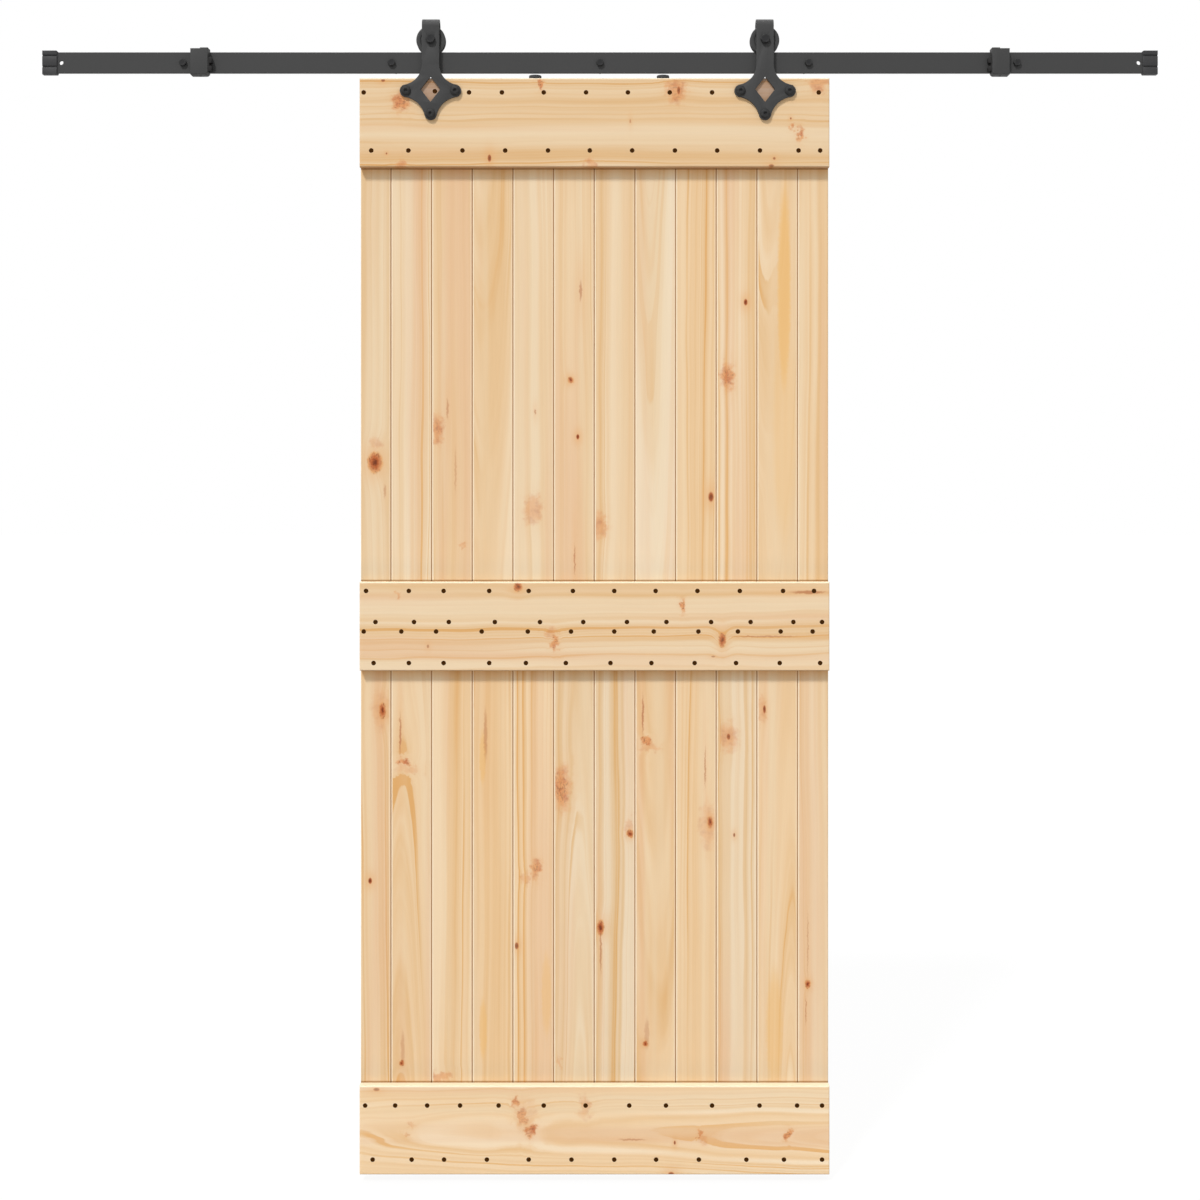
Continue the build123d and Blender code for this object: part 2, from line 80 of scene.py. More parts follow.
def srgb(red: float, green: float, blue: float) -> Colour:
    """Turn a colour as a screen shows it into linear light.

    Args:
        red: Red, 0 to 255.
        green: Green, 0 to 255.
        blue: Blue, 0 to 255.

    Returns:
        The three linear channels, 0 to 1.
    """
    shares = (red / 255, green / 255, blue / 255)
    return tuple(c / 12.92 if c <= 0.04045 else ((c + 0.055) / 1.055) ** 2.4 for c in shares)


class Body(Enum):
    """Bodies that the pieces ride on."""

    TRACK = "track"
    DOOR = "door"
    LEFT_WHEEL = "left_wheel"
    RIGHT_WHEEL = "right_wheel"


class Slot(Enum):
    """Material slots of the record."""

    COATED_STEEL = "coated_steel"
    WHEEL_STEEL = "wheel_steel"
    DARK_FASTENERS = "dark_fasteners"
    BATTEN_SCREW_STEEL = "batten_screw_steel"
    BUSH_STEEL = "bush_steel"
    CAP_PLASTIC = "cap_plastic"
    BUMPER_RUBBER = "bumper_rubber"


class Grain(Enum):
    """Which way a board's fibres run."""

    UPRIGHT = "upright"
    LEVEL = "level"


class KnotKind(Enum):
    """What a mark in the pine looks like."""

    TIGHT = "tight"
    PIN = "pin"
    PATCH = "patch"
    STREAK = "streak"
    FLAME = "flame"


class Section(Enum):
    """Outline of one station along a turned fastener."""

    ROUND = "round"
    HEXAGON = "hexagon"
    CROWNED = "crowned"
    CROSS = "cross"


@dataclass(frozen=True)
class Knot:
    """One knot, patch, resin streak or amber flame on the leaf's front, in millimetres of the frame."""

    x: float
    z: float
    half_width: float
    half_height: float
    strength: float
    kind: KnotKind


PLANK_KNOTS = (
    Knot(-433.2, -766.7, 14.4, 20.1, 1.0, KnotKind.TIGHT),
    Knot(-431.1, -730.2, 12.5, 9.6, 0.28, KnotKind.PATCH),
    Knot(-414.4, -822.3, 3.1, 15.3, 0.35, KnotKind.STREAK),
    Knot(-314.1, -701.5, 10.6, 24.9, 0.62, KnotKind.PATCH),
    Knot(-293.6, -663.1, 2.7, 23.0, 0.4, KnotKind.STREAK),
    Knot(-264.8, -923.4, 7.7, 3.8, 0.4, KnotKind.PATCH),
    Knot(-56.4, -608.2, 5.8, 6.5, 0.95, KnotKind.TIGHT),
    Knot(-42.8, -717.6, 2.9, 5.0, 1.0, KnotKind.PIN),
    Knot(-128.5, -858.8, 15.3, 23.0, 0.42, KnotKind.PATCH),
    Knot(-1.0, -887.6, 11.5, 21.1, 0.5, KnotKind.PATCH),
    Knot(245.6, -601.7, 10.6, 23.0, 0.72, KnotKind.PATCH),
    Knot(280.5, -458.4, 3.5, 6.1, 1.0, KnotKind.PIN),
    Knot(213.7, -833.3, 5.0, 9.2, 0.95, KnotKind.PIN),
    Knot(-37.4, -436.7, 3.1, 23.0, 0.5, KnotKind.STREAK),
    Knot(-48.9, -954.7, 1.7, 34.5, 0.5, KnotKind.STREAK),
    Knot(-124.7, -669.8, 1.7, 6.7, 0.5, KnotKind.STREAK),
    Knot(-278.2, -782.0, 2.3, 49.9, 0.28, KnotKind.STREAK),
    Knot(-419.0, -1245.2, 6.9, 15.3, 1.0, KnotKind.TIGHT),
    Knot(-422.1, -1244.4, 15.3, 32.6, 0.22, KnotKind.PATCH),
    Knot(-378.5, -1342.3, 9.6, 5.8, 0.8, KnotKind.PATCH),
    Knot(-370.3, -1357.6, 19.2, 7.7, 0.3, KnotKind.PATCH),
    Knot(-384.7, -1290.5, 2.3, 46.0, 0.6, KnotKind.STREAK),
    Knot(-74.3, -1394.1, 14.4, 36.5, 0.72, KnotKind.PATCH),
    Knot(-122.8, -1549.5, 8.6, 15.3, 0.65, KnotKind.PATCH),
    Knot(-143.9, -1566.8, 9.6, 9.6, 0.32, KnotKind.PATCH),
    Knot(-442.6, -1572.5, 3.5, 5.8, 1.0, KnotKind.PIN),
    Knot(90.2, -1305.3, 9.6, 5.8, 0.8, KnotKind.PATCH),
    Knot(97.9, -1315.4, 17.3, 7.7, 0.32, KnotKind.PATCH),
    Knot(82.5, -1252.1, 2.3, 44.1, 0.6, KnotKind.STREAK),
    Knot(57.6, -1481.6, 6.5, 7.7, 1.0, KnotKind.TIGHT),
    Knot(56.6, -1467.0, 7.7, 15.3, 0.3, KnotKind.PATCH),
    Knot(247.5, -1295.1, 15.3, 24.9, 0.42, KnotKind.PATCH),
    Knot(247.5, -1295.1, 3.5, 5.8, 0.8, KnotKind.PIN),
    Knot(316.6, -1242.1, 2.7, 7.7, 0.9, KnotKind.PIN),
    Knot(311.8, -1242.5, 7.7, 23.0, 0.35, KnotKind.PATCH),
    Knot(212.2, -1459.3, 5.4, 11.5, 0.95, KnotKind.TIGHT),
    Knot(207.2, -1465.1, 13.4, 40.3, 0.32, KnotKind.PATCH),
    Knot(202.4, -1353.8, 1.9, 46.0, 0.5, KnotKind.STREAK),
    Knot(258.4, -1484.3, 1.9, 3.8, 0.8, KnotKind.PIN),
    Knot(-382.2, -1923.3, 5.2, 5.6, 1.0, KnotKind.TIGHT),
    Knot(-379.9, -1894.9, 4.8, 38.4, 0.3, KnotKind.STREAK),
    Knot(-160.4, -1697.6, 3.8, 6.5, 0.85, KnotKind.PIN),
    Knot(-305.1, -1948.6, 17.3, 7.7, 0.5, KnotKind.PATCH),
    Knot(0.8, -1662.7, 7.7, 15.3, 1.0, KnotKind.TIGHT),
    Knot(1.5, -1708.7, 2.3, 49.9, 0.5, KnotKind.STREAK),
    Knot(-77.3, -1921.7, 3.8, 9.6, 0.3, KnotKind.PATCH),
    Knot(86.7, -1886.0, 5.2, 5.6, 1.0, KnotKind.TIGHT),
    Knot(90.2, -1866.1, 5.8, 34.5, 0.3, KnotKind.STREAK),
    Knot(399.7, -1771.5, 5.2, 8.4, 1.0, KnotKind.TIGHT),
    Knot(400.0, -1693.4, 1.5, 72.9, 0.35, KnotKind.STREAK),
    Knot(396.2, -1821.9, 1.5, 30.7, 0.5, KnotKind.STREAK),
    Knot(-220.6, -1290.5, 4.2, 57.6, 0.4, KnotKind.STREAK),
    Knot(354.5, -437.0, 14.0, 225.0, 0.75, KnotKind.FLAME),
    Knot(354.0, -700.0, 24.0, 240.0, 0.3, KnotKind.FLAME),
    Knot(335.5, -1858.0, 17.0, 125.0, 0.5, KnotKind.FLAME),
    Knot(-226.0, -1335.0, 7.0, 55.0, 0.6, KnotKind.FLAME),
    Knot(-225.0, -1858.0, 8.0, 62.0, 0.55, KnotKind.FLAME),
    Knot(-103.0, -1791.0, 10.0, 85.0, 0.4, KnotKind.FLAME),
)
BATTEN_KNOTS = (
    Knot(-380.1, -77.9, 13.4, 15.3, 0.8, KnotKind.PATCH),
    Knot(-415.2, -35.7, 3.8, 3.1, 0.8, KnotKind.PIN),
    Knot(-383.2, -196.9, 9.6, 7.7, 0.5, KnotKind.PATCH),
    Knot(-115.5, -44.5, 5.4, 9.6, 0.8, KnotKind.PATCH),
    Knot(-211.6, -184.6, 3.5, 6.9, 0.9, KnotKind.PIN),
    Knot(-17.3, -194.9, 9.6, 9.6, 0.42, KnotKind.PATCH),
    Knot(-408.7, -175.7, 1.7, 1.9, 0.8, KnotKind.PIN),
    Knot(145.8, -54.9, 15.3, 21.1, 0.62, KnotKind.PATCH),
    Knot(150.6, -54.9, 3.1, 7.7, 0.8, KnotKind.PIN),
    Knot(419.4, -41.4, 15.3, 15.3, 0.55, KnotKind.PATCH),
    Knot(382.6, -138.7, 6.3, 12.7, 0.75, KnotKind.PATCH),
    Knot(368.0, -123.9, 4.2, 6.5, 0.7, KnotKind.PATCH),
    Knot(365.3, -108.6, 1.7, 2.1, 0.8, KnotKind.PIN),
    Knot(333.7, -185.1, 2.7, 2.7, 0.7, KnotKind.PIN),
    Knot(328.1, -198.8, 5.0, 2.7, 0.7, KnotKind.PIN),
    Knot(58.5, -113.8, 1.5, 5.0, 0.5, KnotKind.STREAK),
    Knot(-156.6, -1005.2, 8.6, 9.6, 0.9, KnotKind.TIGHT),
    Knot(-86.3, -1110.7, 6.5, 14.4, 0.75, KnotKind.PATCH),
    Knot(-92.0, -1094.0, 10.0, 9.0, 0.3, KnotKind.PATCH),
    Knot(-386.6, -1020.5, 3.5, 5.8, 0.4, KnotKind.PATCH),
    Knot(-329.4, -1119.3, 2.3, 3.5, 0.5, KnotKind.PIN),
    Knot(158.5, -1040.9, 4.6, 12.3, 0.8, KnotKind.PATCH),
    Knot(234.1, -1106.9, 6.9, 14.6, 0.9, KnotKind.TIGHT),
    Knot(399.1, -1015.7, 40.3, 3.5, 0.6, KnotKind.STREAK),
    Knot(316.6, -1100.5, 72.9, 1.7, 0.5, KnotKind.STREAK),
    Knot(216.8, -1138.9, 3.8, 1.7, 0.5, KnotKind.PIN),
    Knot(-142.0, -2016.0, 20.0, 30.0, 0.16, KnotKind.PATCH),
    Knot(-161.0, -1993.0, 6.0, 11.0, 0.7, KnotKind.PATCH),
    Knot(-148.0, -2019.0, 6.0, 14.0, 0.6, KnotKind.PATCH),
    Knot(-131.0, -2046.0, 8.0, 11.0, 0.8, KnotKind.PATCH),
    Knot(-28.8, -2000.4, 9.6, 19.2, 0.3, KnotKind.PATCH),
    Knot(189.4, -2055.3, 3.8, 8.4, 0.75, KnotKind.PATCH),
    Knot(197.6, -2065.6, 9.6, 5.8, 0.3, KnotKind.PATCH),
    Knot(143.1, -2069.5, 1.9, 3.8, 0.9, KnotKind.PIN),
    Knot(359.9, -2055.3, 4.6, 9.6, 0.8, KnotKind.PATCH),
    Knot(136.2, -2130.1, 5.8, 4.6, 0.85, KnotKind.PIN),
    Knot(-427.9, -1967.8, 5.8, 3.1, 0.6, KnotKind.PIN),
    Knot(-361.5, -2034.5, 5.8, 5.8, 0.25, KnotKind.PATCH),
    Knot(-372.2, -2054.1, 5.8, 2.7, 0.3, KnotKind.PATCH),
    Knot(61.4, -2063.7, 30.7, 2.3, 0.45, KnotKind.STREAK),
)


class NodeDesk:
    """Builds the node tree of one material."""

    def __init__(self, name: str) -> None:
        """Start an empty material of that name."""
        self.material = bpy.data.materials.new(name)
        self.material.use_nodes = True
        self.tree = self.material.node_tree
        self.tree.nodes.clear()
        self.object_coordinates = self.tree.nodes.new("ShaderNodeTexCoord").outputs["Object"]

    def feed(self, socket: NodeSocket, value: NodeValue) -> None:
        """Link a socket into another, or set its value."""
        if isinstance(value, NodeSocket):
            self.tree.links.new(value, socket)
        else:
            socket.default_value = value

    def math(
        self, operation: str, first: NodeValue, second: NodeValue = 0.0, third: NodeValue = 0.0
    ) -> NodeSocket:
        """Add a Math node.

        Args:
            operation: The node's operation.
            first: First value.
            second: Second value, where the operation has one.
            third: Third value, where the operation has one.

        Returns:
            The result's socket.
        """
        node = self.tree.nodes.new("ShaderNodeMath")
        node.operation = operation
        for socket, value in zip(node.inputs, (first, second, third)):
            self.feed(socket, value)
        return node.outputs[0]

    def vector(self, operation: str, first: NodeValue, second: NodeValue = (0.0, 0.0, 0.0)) -> bpy.types.Node:
        """Add a Vector Math node and return it."""
        node = self.tree.nodes.new("ShaderNodeVectorMath")
        node.operation = operation
        self.feed(node.inputs[0], first)
        self.feed(node.inputs[1], second)
        return node

    def placed(
        self,
        vector: NodeSocket,
        location: Sequence[float] = (0, 0, 0),
        rotation: Sequence[float] = (0, 0, 0),
        scale: Sequence[float] = (1, 1, 1),
    ) -> NodeSocket:
        """Add a Mapping node that scales, turns and moves a vector.

        Args:
            vector: The coordinates to place.
            location: Shift, after the rest.
            rotation: Euler angles.
            scale: Factors, before the rest.

        Returns:
            The placed coordinates.
        """
        node = self.tree.nodes.new("ShaderNodeMapping")
        self.feed(node.inputs["Vector"], vector)
        node.inputs["Location"].default_value = location
        node.inputs["Rotation"].default_value = rotation
        node.inputs["Scale"].default_value = scale
        return node.outputs["Vector"]

    def axes(self, vector: NodeSocket) -> tuple[NodeSocket, NodeSocket, NodeSocket]:
        """Split a vector into its three parts."""
        node = self.tree.nodes.new("ShaderNodeSeparateXYZ")
        self.feed(node.inputs[0], vector)
        return tuple(node.outputs)

    def noise(
        self, vector: NodeSocket, scale: float, detail: float = 2.0, roughness: float = 0.5
    ) -> bpy.types.Node:
        """Add a three-dimensional Noise Texture and return its node."""
        node = self.tree.nodes.new("ShaderNodeTexNoise")
        self.feed(node.inputs["Vector"], vector)
        node.inputs["Scale"].default_value = scale
        node.inputs["Detail"].default_value = detail
        node.inputs["Roughness"].default_value = roughness
        return node

    def line_noise(self, place: NodeSocket, scale: float, detail: float, roughness: float) -> NodeSocket:
        """Add noise along one value, such as a distance from the pith.

        Args:
            place: The value to read the noise at.
            scale: Bands for each unit of the value.
            detail: Octaves of finer bands.
            roughness: Strength of the finer bands.

        Returns:
            The noise, 0 to 1.
        """
        node = self.tree.nodes.new("ShaderNodeTexNoise")
        node.noise_dimensions = "1D"
        self.feed(node.inputs["W"], place)
        node.inputs["Scale"].default_value = scale
        node.inputs["Detail"].default_value = detail
        node.inputs["Roughness"].default_value = roughness
        return node.outputs[0]

    def spread(
        self, value: NodeValue, low: float, high: float, to_low: float = 0.0, to_high: float = 1.0
    ) -> NodeSocket:
        """Add a smooth Map Range node.

        Args:
            value: The value to map.
            low: Value that gives to_low.
            high: Value that gives to_high.
            to_low: Result at low.
            to_high: Result at high.

        Returns:
            The mapped value.
        """
        node = self.tree.nodes.new("ShaderNodeMapRange")
        node.interpolation_type = "SMOOTHSTEP"
        for socket, given in zip(node.inputs, (value, low, high, to_low, to_high)):
            self.feed(socket, given)
        return node.outputs[0]

    def mix(self, share: NodeValue, first: NodeValue, second: NodeValue, blend: str = "MIX") -> NodeSocket:
        """Add a colour Mix node.

        Args:
            share: Share of the second colour.
            first: First colour.
            second: Second colour.
            blend: How the second colour is laid on the first.

        Returns:
            The mixed colour.
        """
        node = self.tree.nodes.new("ShaderNodeMix")
        node.data_type = "RGBA"
        node.blend_type = blend
        self.feed(node.inputs[0], share)
        for socket, colour in ((node.inputs[6], first), (node.inputs[7], second)):
            self.feed(socket, colour if isinstance(colour, NodeSocket) else (*colour, 1.0))
        return node.outputs[2]

    def speckled(self, colour: Colour, first: NodeSocket, second: NodeSocket, share: float) -> NodeSocket:
        """Vary a colour's tone by two noises.

        Args:
            colour: The colour.
            first: First noise, 0 to 1.
            second: Second noise, 0 to 1.
            share: Share by which the noises change the tone.

        Returns:
            The uneven colour.
        """
        tone = self.math("MULTIPLY_ADD", self.math("ADD", first, second), share, 1.0 - share)
        return self.mix(1.0, colour, tone, "MULTIPLY")

    def ramp(self, value: NodeSocket, stops: Sequence[tuple[float, Colour]]) -> NodeSocket:
        """Add a Color Ramp node.

        Args:
            value: Where to read the ramp.
            stops: Places on the ramp with their colours.

        Returns:
            The colour.
        """
        node = self.tree.nodes.new("ShaderNodeValToRGB")
        self.feed(node.inputs[0], value)
        elements = node.color_ramp.elements
        while len(elements) < len(stops):
            elements.new(1.0)
        for element, (place, colour) in zip(elements, stops):
            element.position = place
            element.color = (*colour, 1.0)
        return node.outputs[0]

    def attribute(self, name: str) -> NodeSocket:
        """Read a number that the mesh carries."""
        node = self.tree.nodes.new("ShaderNodeAttribute")
        node.attribute_name = name
        return node.outputs["Fac"]

    def bump(self, height: NodeSocket, strength: float, distance: float) -> NodeSocket:
        """Turn a height into a normal.

        Args:
            height: The height, 0 to 1.
            strength: Share of the effect.
            distance: Depth of the full height, in metres.

        Returns:
            The bent normal.
        """
        node = self.tree.nodes.new("ShaderNodeBump")
        node.inputs["Strength"].default_value = strength
        node.inputs["Distance"].default_value = distance
        self.feed(node.inputs["Height"], height)
        return node.outputs[0]

    def surface(self, **sockets: NodeValue) -> bpy.types.Material:
        """Close the tree with a Principled BSDF.

        Args:
            **sockets: Values by socket name, with underscores for spaces.

        Returns:
            The finished material.
        """
        shader = self.tree.nodes.new("ShaderNodeBsdfPrincipled")
        for name, value in sockets.items():
            self.feed(shader.inputs[name.replace("_", " ")], value)
        output = self.tree.nodes.new("ShaderNodeOutputMaterial")
        self.tree.links.new(shader.outputs[0], output.inputs["Surface"])
        return self.material


@dataclass(frozen=True)
class CoatedSteelFinish:
    """Matt powder coat: a faint orange peel, uneven sheen and paler worn edges.

    Attributes:
        name: The material's name.
        colour: Colour of the coat.
        worn_colour: Colour where the edges are rubbed.
        roughness: Mean roughness.
        speckle: Share by which the coat's tone varies.
    """

    name: str
    colour: Colour
    worn_colour: Colour
    roughness: float = 0.62
    speckle: float = 0.16

    def material(self) -> bpy.types.Material:
        """Build the coat's node material."""
        desk = NodeDesk(self.name)
        place = desk.object_coordinates
        cloud = desk.noise(place, 38.0, 3.0, 0.6).outputs[0]
        grain = desk.noise(place, 900.0, 2.0, 0.6).outputs[0]
        colour = desk.speckled(self.colour, cloud, grain, self.speckle)
        rubbed = desk.spread(desk.noise(place, 160.0, 3.0, 0.65).outputs[0], 0.42, 0.68)
        worn = desk.math("MULTIPLY", desk.attribute("worn_edge"), rubbed)
        colour = desk.mix(desk.math("MULTIPLY", worn, 0.75), colour, self.worn_colour)
        shine = desk.math("MULTIPLY_ADD", cloud, 0.16, self.roughness - 0.08)
        shine = desk.math("SUBTRACT", shine, desk.math("MULTIPLY", worn, 0.12))
        return desk.surface(
            Base_Color=colour,
            Roughness=shine,
            Specular_IOR_Level=0.3,
            Normal=desk.bump(grain, 0.35, 0.00012),
        )


@dataclass(frozen=True)
class RailFinish:
    """The coat on the rail, polished a little paler along the top edge where the wheels roll.

    Attributes:
        name: The material's name.
        colour: Colour of the coat.
        rolled_colour: Colour of the rolled edge.
        edge_height: Height at which the rolled edge starts, in metres.
        speckle: Share by which the coat's tone varies.
    """

    name: str
    colour: Colour
    rolled_colour: Colour
    edge_height: float
    speckle: float = 0.16

    def material(self) -> bpy.types.Material:
        """Build the rail's node material."""
        desk = NodeDesk(self.name)
        place = desk.object_coordinates
        cloud = desk.noise(place, 24.0, 4.0, 0.6).outputs[0]
        grain = desk.noise(place, 900.0, 2.0, 0.6).outputs[0]
        colour = desk.speckled(self.colour, cloud, grain, self.speckle)
        height = desk.axes(place)[2]
        edge = desk.spread(height, self.edge_height, self.edge_height + 0.0006)
        brushed = desk.noise(desk.placed(place, scale=(6, 900, 900)), 1.0, 3.0, 0.6).outputs[0]
        rolled = desk.math("MULTIPLY", edge, desk.spread(brushed, 0.3, 0.75))
        colour = desk.mix(desk.math("MULTIPLY", rolled, 0.55), colour, self.rolled_colour)
        shine = desk.math("MULTIPLY_ADD", cloud, 0.16, 0.54)
        shine = desk.math("SUBTRACT", shine, desk.math("MULTIPLY", rolled, 0.2))
        return desk.surface(
            Base_Color=colour,
            Roughness=shine,
            Specular_IOR_Level=0.3,
            Normal=desk.bump(grain, 0.35, 0.00012),
        )


@dataclass(frozen=True)
class FastenerFinish:
    """Dark oxide on small steel parts, with turning marks and pale rubbed corners.

    Attributes:
        name: The material's name.
        colour: Colour of the oxide.
        worn_colour: Colour of the rubbed corners.
        roughness: Mean roughness.
        specular: Strength of the reflection.
        speckle: Share by which the oxide's tone varies.
    """

    name: str
    colour: Colour
    worn_colour: Colour
    roughness: float = 0.5
    specular: float = 0.35
    speckle: float = 0.3

    def material(self) -> bpy.types.Material:
        """Build the oxide's node material."""
        desk = NodeDesk(self.name)
        place = desk.object_coordinates
        cloud = desk.noise(place, 220.0, 3.0, 0.6).outputs[0]
        marks = desk.noise(desk.placed(place, scale=(1400, 300, 1400)), 1.0, 2.0, 0.5).outputs[0]
        colour = desk.speckled(self.colour, cloud, marks, self.speckle)
        worn = desk.math("MULTIPLY", desk.attribute("worn_edge"), desk.spread(cloud, 0.35, 0.7))
        colour = desk.mix(desk.math("MULTIPLY", worn, 0.6), colour, self.worn_colour)
        return desk.surface(
            Base_Color=colour,
            Roughness=desk.math("MULTIPLY_ADD", cloud, 0.2, self.roughness - 0.1),
            Specular_IOR_Level=self.specular,
            Normal=desk.bump(marks, 0.2, 0.00006),
        )


@dataclass(frozen=True)
class BareSteelFinish:
    """Turned bare steel of the bushes, with fine rings round the axle.

    Attributes:
        name: The material's name.
        colour: Colour of the metal.
    """

    name: str
    colour: Colour

    def material(self) -> bpy.types.Material:
        """Build the metal's node material."""
        desk = NodeDesk(self.name)
        place = desk.object_coordinates
        rings = desk.noise(desk.placed(place, scale=(60, 4000, 60)), 1.0, 2.0, 0.6).outputs[0]
        colour = desk.mix(1.0, self.colour, desk.math("MULTIPLY_ADD", rings, 0.4, 0.8), "MULTIPLY")
        return desk.surface(
            Base_Color=colour,
            Metallic=1.0,
            Roughness=desk.math("MULTIPLY_ADD", rings, 0.25, 0.25),
            Normal=desk.bump(rings, 0.2, 0.00005),
        )


@dataclass(frozen=True)
class MouldedFinish:
    """Moulded plastic or rubber with a fine eroded skin.

    Attributes:
        name: The material's name.
        colour: Colour of the material.
        roughness: Mean roughness.
        skin: Cells of the skin's texture per metre.
        depth: Depth of the skin's texture in metres.
        speckle: Share by which the tone varies.
        rubbed_gain: How much paler the rubbed edges are.
    """

    name: str
    colour: Colour
    roughness: float
    skin: float
    depth: float
    speckle: float = 0.2
    rubbed_gain: float = 1.9

    def material(self) -> bpy.types.Material:
        """Build the moulding's node material."""
        desk = NodeDesk(self.name)
        place = desk.object_coordinates
        cloud = desk.noise(place, 90.0, 3.0, 0.6).outputs[0]
        skin = desk.noise(place, self.skin, 3.0, 0.7).outputs[0]
        worn = desk.math("MULTIPLY", desk.attribute("worn_edge"), desk.spread(cloud, 0.3, 0.7))
        colour = desk.speckled(self.colour, cloud, skin, self.speckle)
        paler = tuple(min(1.0, channel * self.rubbed_gain) for channel in self.colour)
        colour = desk.mix(desk.math("MULTIPLY", worn, 0.5), colour, paler)
        return desk.surface(
            Base_Color=colour,
            Roughness=desk.math("MULTIPLY_ADD", skin, 0.16, self.roughness - 0.08),
            Specular_IOR_Level=0.3,
            Normal=desk.bump(skin, 0.4, self.depth),
        )


@dataclass(frozen=True)
class EdgeShade:
    """How a board pales and darkens towards one long edge, with distances from the edge in metres: edge wear
    and painted highlights, dark seams and painted shade.

    Attributes:
        pale_from: Where the pale line starts.
        pale_to: Where it is full.
        pale: Strength of the pale line.
        dark_from: Where the dark line starts.
        dark_to: Where it is full.
        dark: Strength of the dark line.
    """

    pale_from: float
    pale_to: float
    pale: float
    dark_from: float = 0.001
    dark_to: float = 0.0
    dark: float = 0.0


# Eased edges pale with wear. Between planks, the left edge, which faces the key lamp, gets a painted
# highlight, and the right edge, which faces away, a pale band and painted shade, both over a dark line at the
# seam's foot. A batten's top edge gets a painted highlight and its foot painted shade.
EASED_EDGE = EdgeShade(0.0020, -0.0002, 0.55)
JOINT_LEFT = EdgeShade(0.0034, 0.0014, 1.0, 0.0008, 0.0002, 0.8)
JOINT_RIGHT = EdgeShade(0.0046, 0.0030, 0.45, 0.0027, 0.0012, 0.75)
BATTEN_TOP_HIGHLIGHT = EdgeShade(0.0036, 0.0012, 0.85)
BATTEN_FOOT_SHADE = EdgeShade(0.0020, 0.0, 0.0, 0.0012, 0.0002, 0.6)


@dataclass(frozen=True)
class ContactShade:
    """Painted shade on the planks towards a batten's edge, with distances from the edge in metres.

    Attributes:
        line_width: Reach of the painted dark line.
        line: Strength of the painted dark line.
        soft_width: Reach of the soft painted shade beyond it.
        soft: Share of each channel that the soft painted shade leaves at the edge.
    """

    line_width: float
    line: float
    soft_width: float
    soft: Colour


# Painted shade: above a batten's top edge a dark line and a faint cool shade, below its foot a dark line and
# a warm painted shadow.
ABOVE_BATTEN = ContactShade(0.0048, 0.95, 0.060, (0.90, 0.93, 0.96))
BELOW_BATTEN = ContactShade(0.0032, 1.0, 0.024, (0.94, 0.83, 0.66))

# Reach of the chips along eased edges, and depths at which the painted shade along the battens, kept to the
# front face, ends and is full, in metres.
CHIP_REACH = 0.0016
FRONT_FADE = (0.003, 0.001)
# Where the cut ends' tint starts and is full, in metres from the end, and its strength.
END_FADE = (0.0009, 0.0001)
END_STRENGTH = 0.6
# Where the painted shade behind a window starts and is full, in half sizes of the window.
WINDOW_FADE = (1.25, 1.05)
# How far from a board's ends a batten's edge has to lie to get painted shade along it, in metres.
CONTACT_INSET = 0.01

# Cells of each noise for a metre across, in depth and along the fibres.
FIBRE_CELLS = (620, 620, 16)
WAVER_CELLS = {Grain.UPRIGHT: (9, 9, 1.6), Grain.LEVEL: (9, 9, 3.2)}
RIPPLE_CELLS = (70, 70, 7)
ZONE_CELLS = (16, 16, 0.8)
DRIFT_CELLS = (20, 20, 1.8)
HEART_CELLS = (20, 20, 0.7)
SAPWOOD_CELLS = (24, 24, 0.6)
CRACK_CELLS = (420, 420, 150)

# Bends of the rings in metres, bands for a metre of growth, and how strongly they show.
WAVER_REACH = 0.024
RIPPLE_REACH = 0.0026
BROAD_BANDS = (22, 38)
FINE_LINES = (110, 170)
VEINS = (90, 150)
TONE_MEAN = 0.44
BAND_CONTRAST = 1.7
LINE_CONTRAST = 0.85
LINE_MEAN = 0.46
VEIN_CONTRAST = 0.5
DRIFT_CONTRAST = 0.5
FLAT_SAWN_GAIN = 1.4
LEVEL_GAIN = 1.25


class Outline(Enum):
    """How uneven a mark's outline is."""

    EVEN = "even"
    WAVY = "wavy"
    TORN = "torn"


@dataclass(frozen=True)
class MarkLook:
    """How one kind of mark is drawn, with distances in the mark's half sizes.

    Attributes:
        outline: How uneven its outline is.
        outer: Distance at which it starts.
        inner: Distance at which it is full.
        glow: Strength of the resin round it.
        fade: How quickly that resin fades.
        bend: How far it bends the rings.
    """

    outline: Outline
    outer: float
    inner: float
    glow: float
    fade: float
    bend: float = 0.0


MARK_LOOKS = {
    KnotKind.TIGHT: MarkLook(Outline.WAVY, 1.2, 0.85, 0.55, 0.3, 1.0),
    KnotKind.PIN: MarkLook(Outline.EVEN, 1.3, 0.7, 0.5, 0.1),
    KnotKind.PATCH: MarkLook(Outline.TORN, 1.6, 0.55, 0.45, 0.4, 0.25),
    KnotKind.STREAK: MarkLook(Outline.WAVY, 1.1, 0.4, 0.5, 0.1),
    KnotKind.FLAME: MarkLook(Outline.WAVY, 1.15, 0.6, 0.15, 0.8),
}
BEND_FADE = 0.2
PIN_DEPTH_SHARE = 0.5


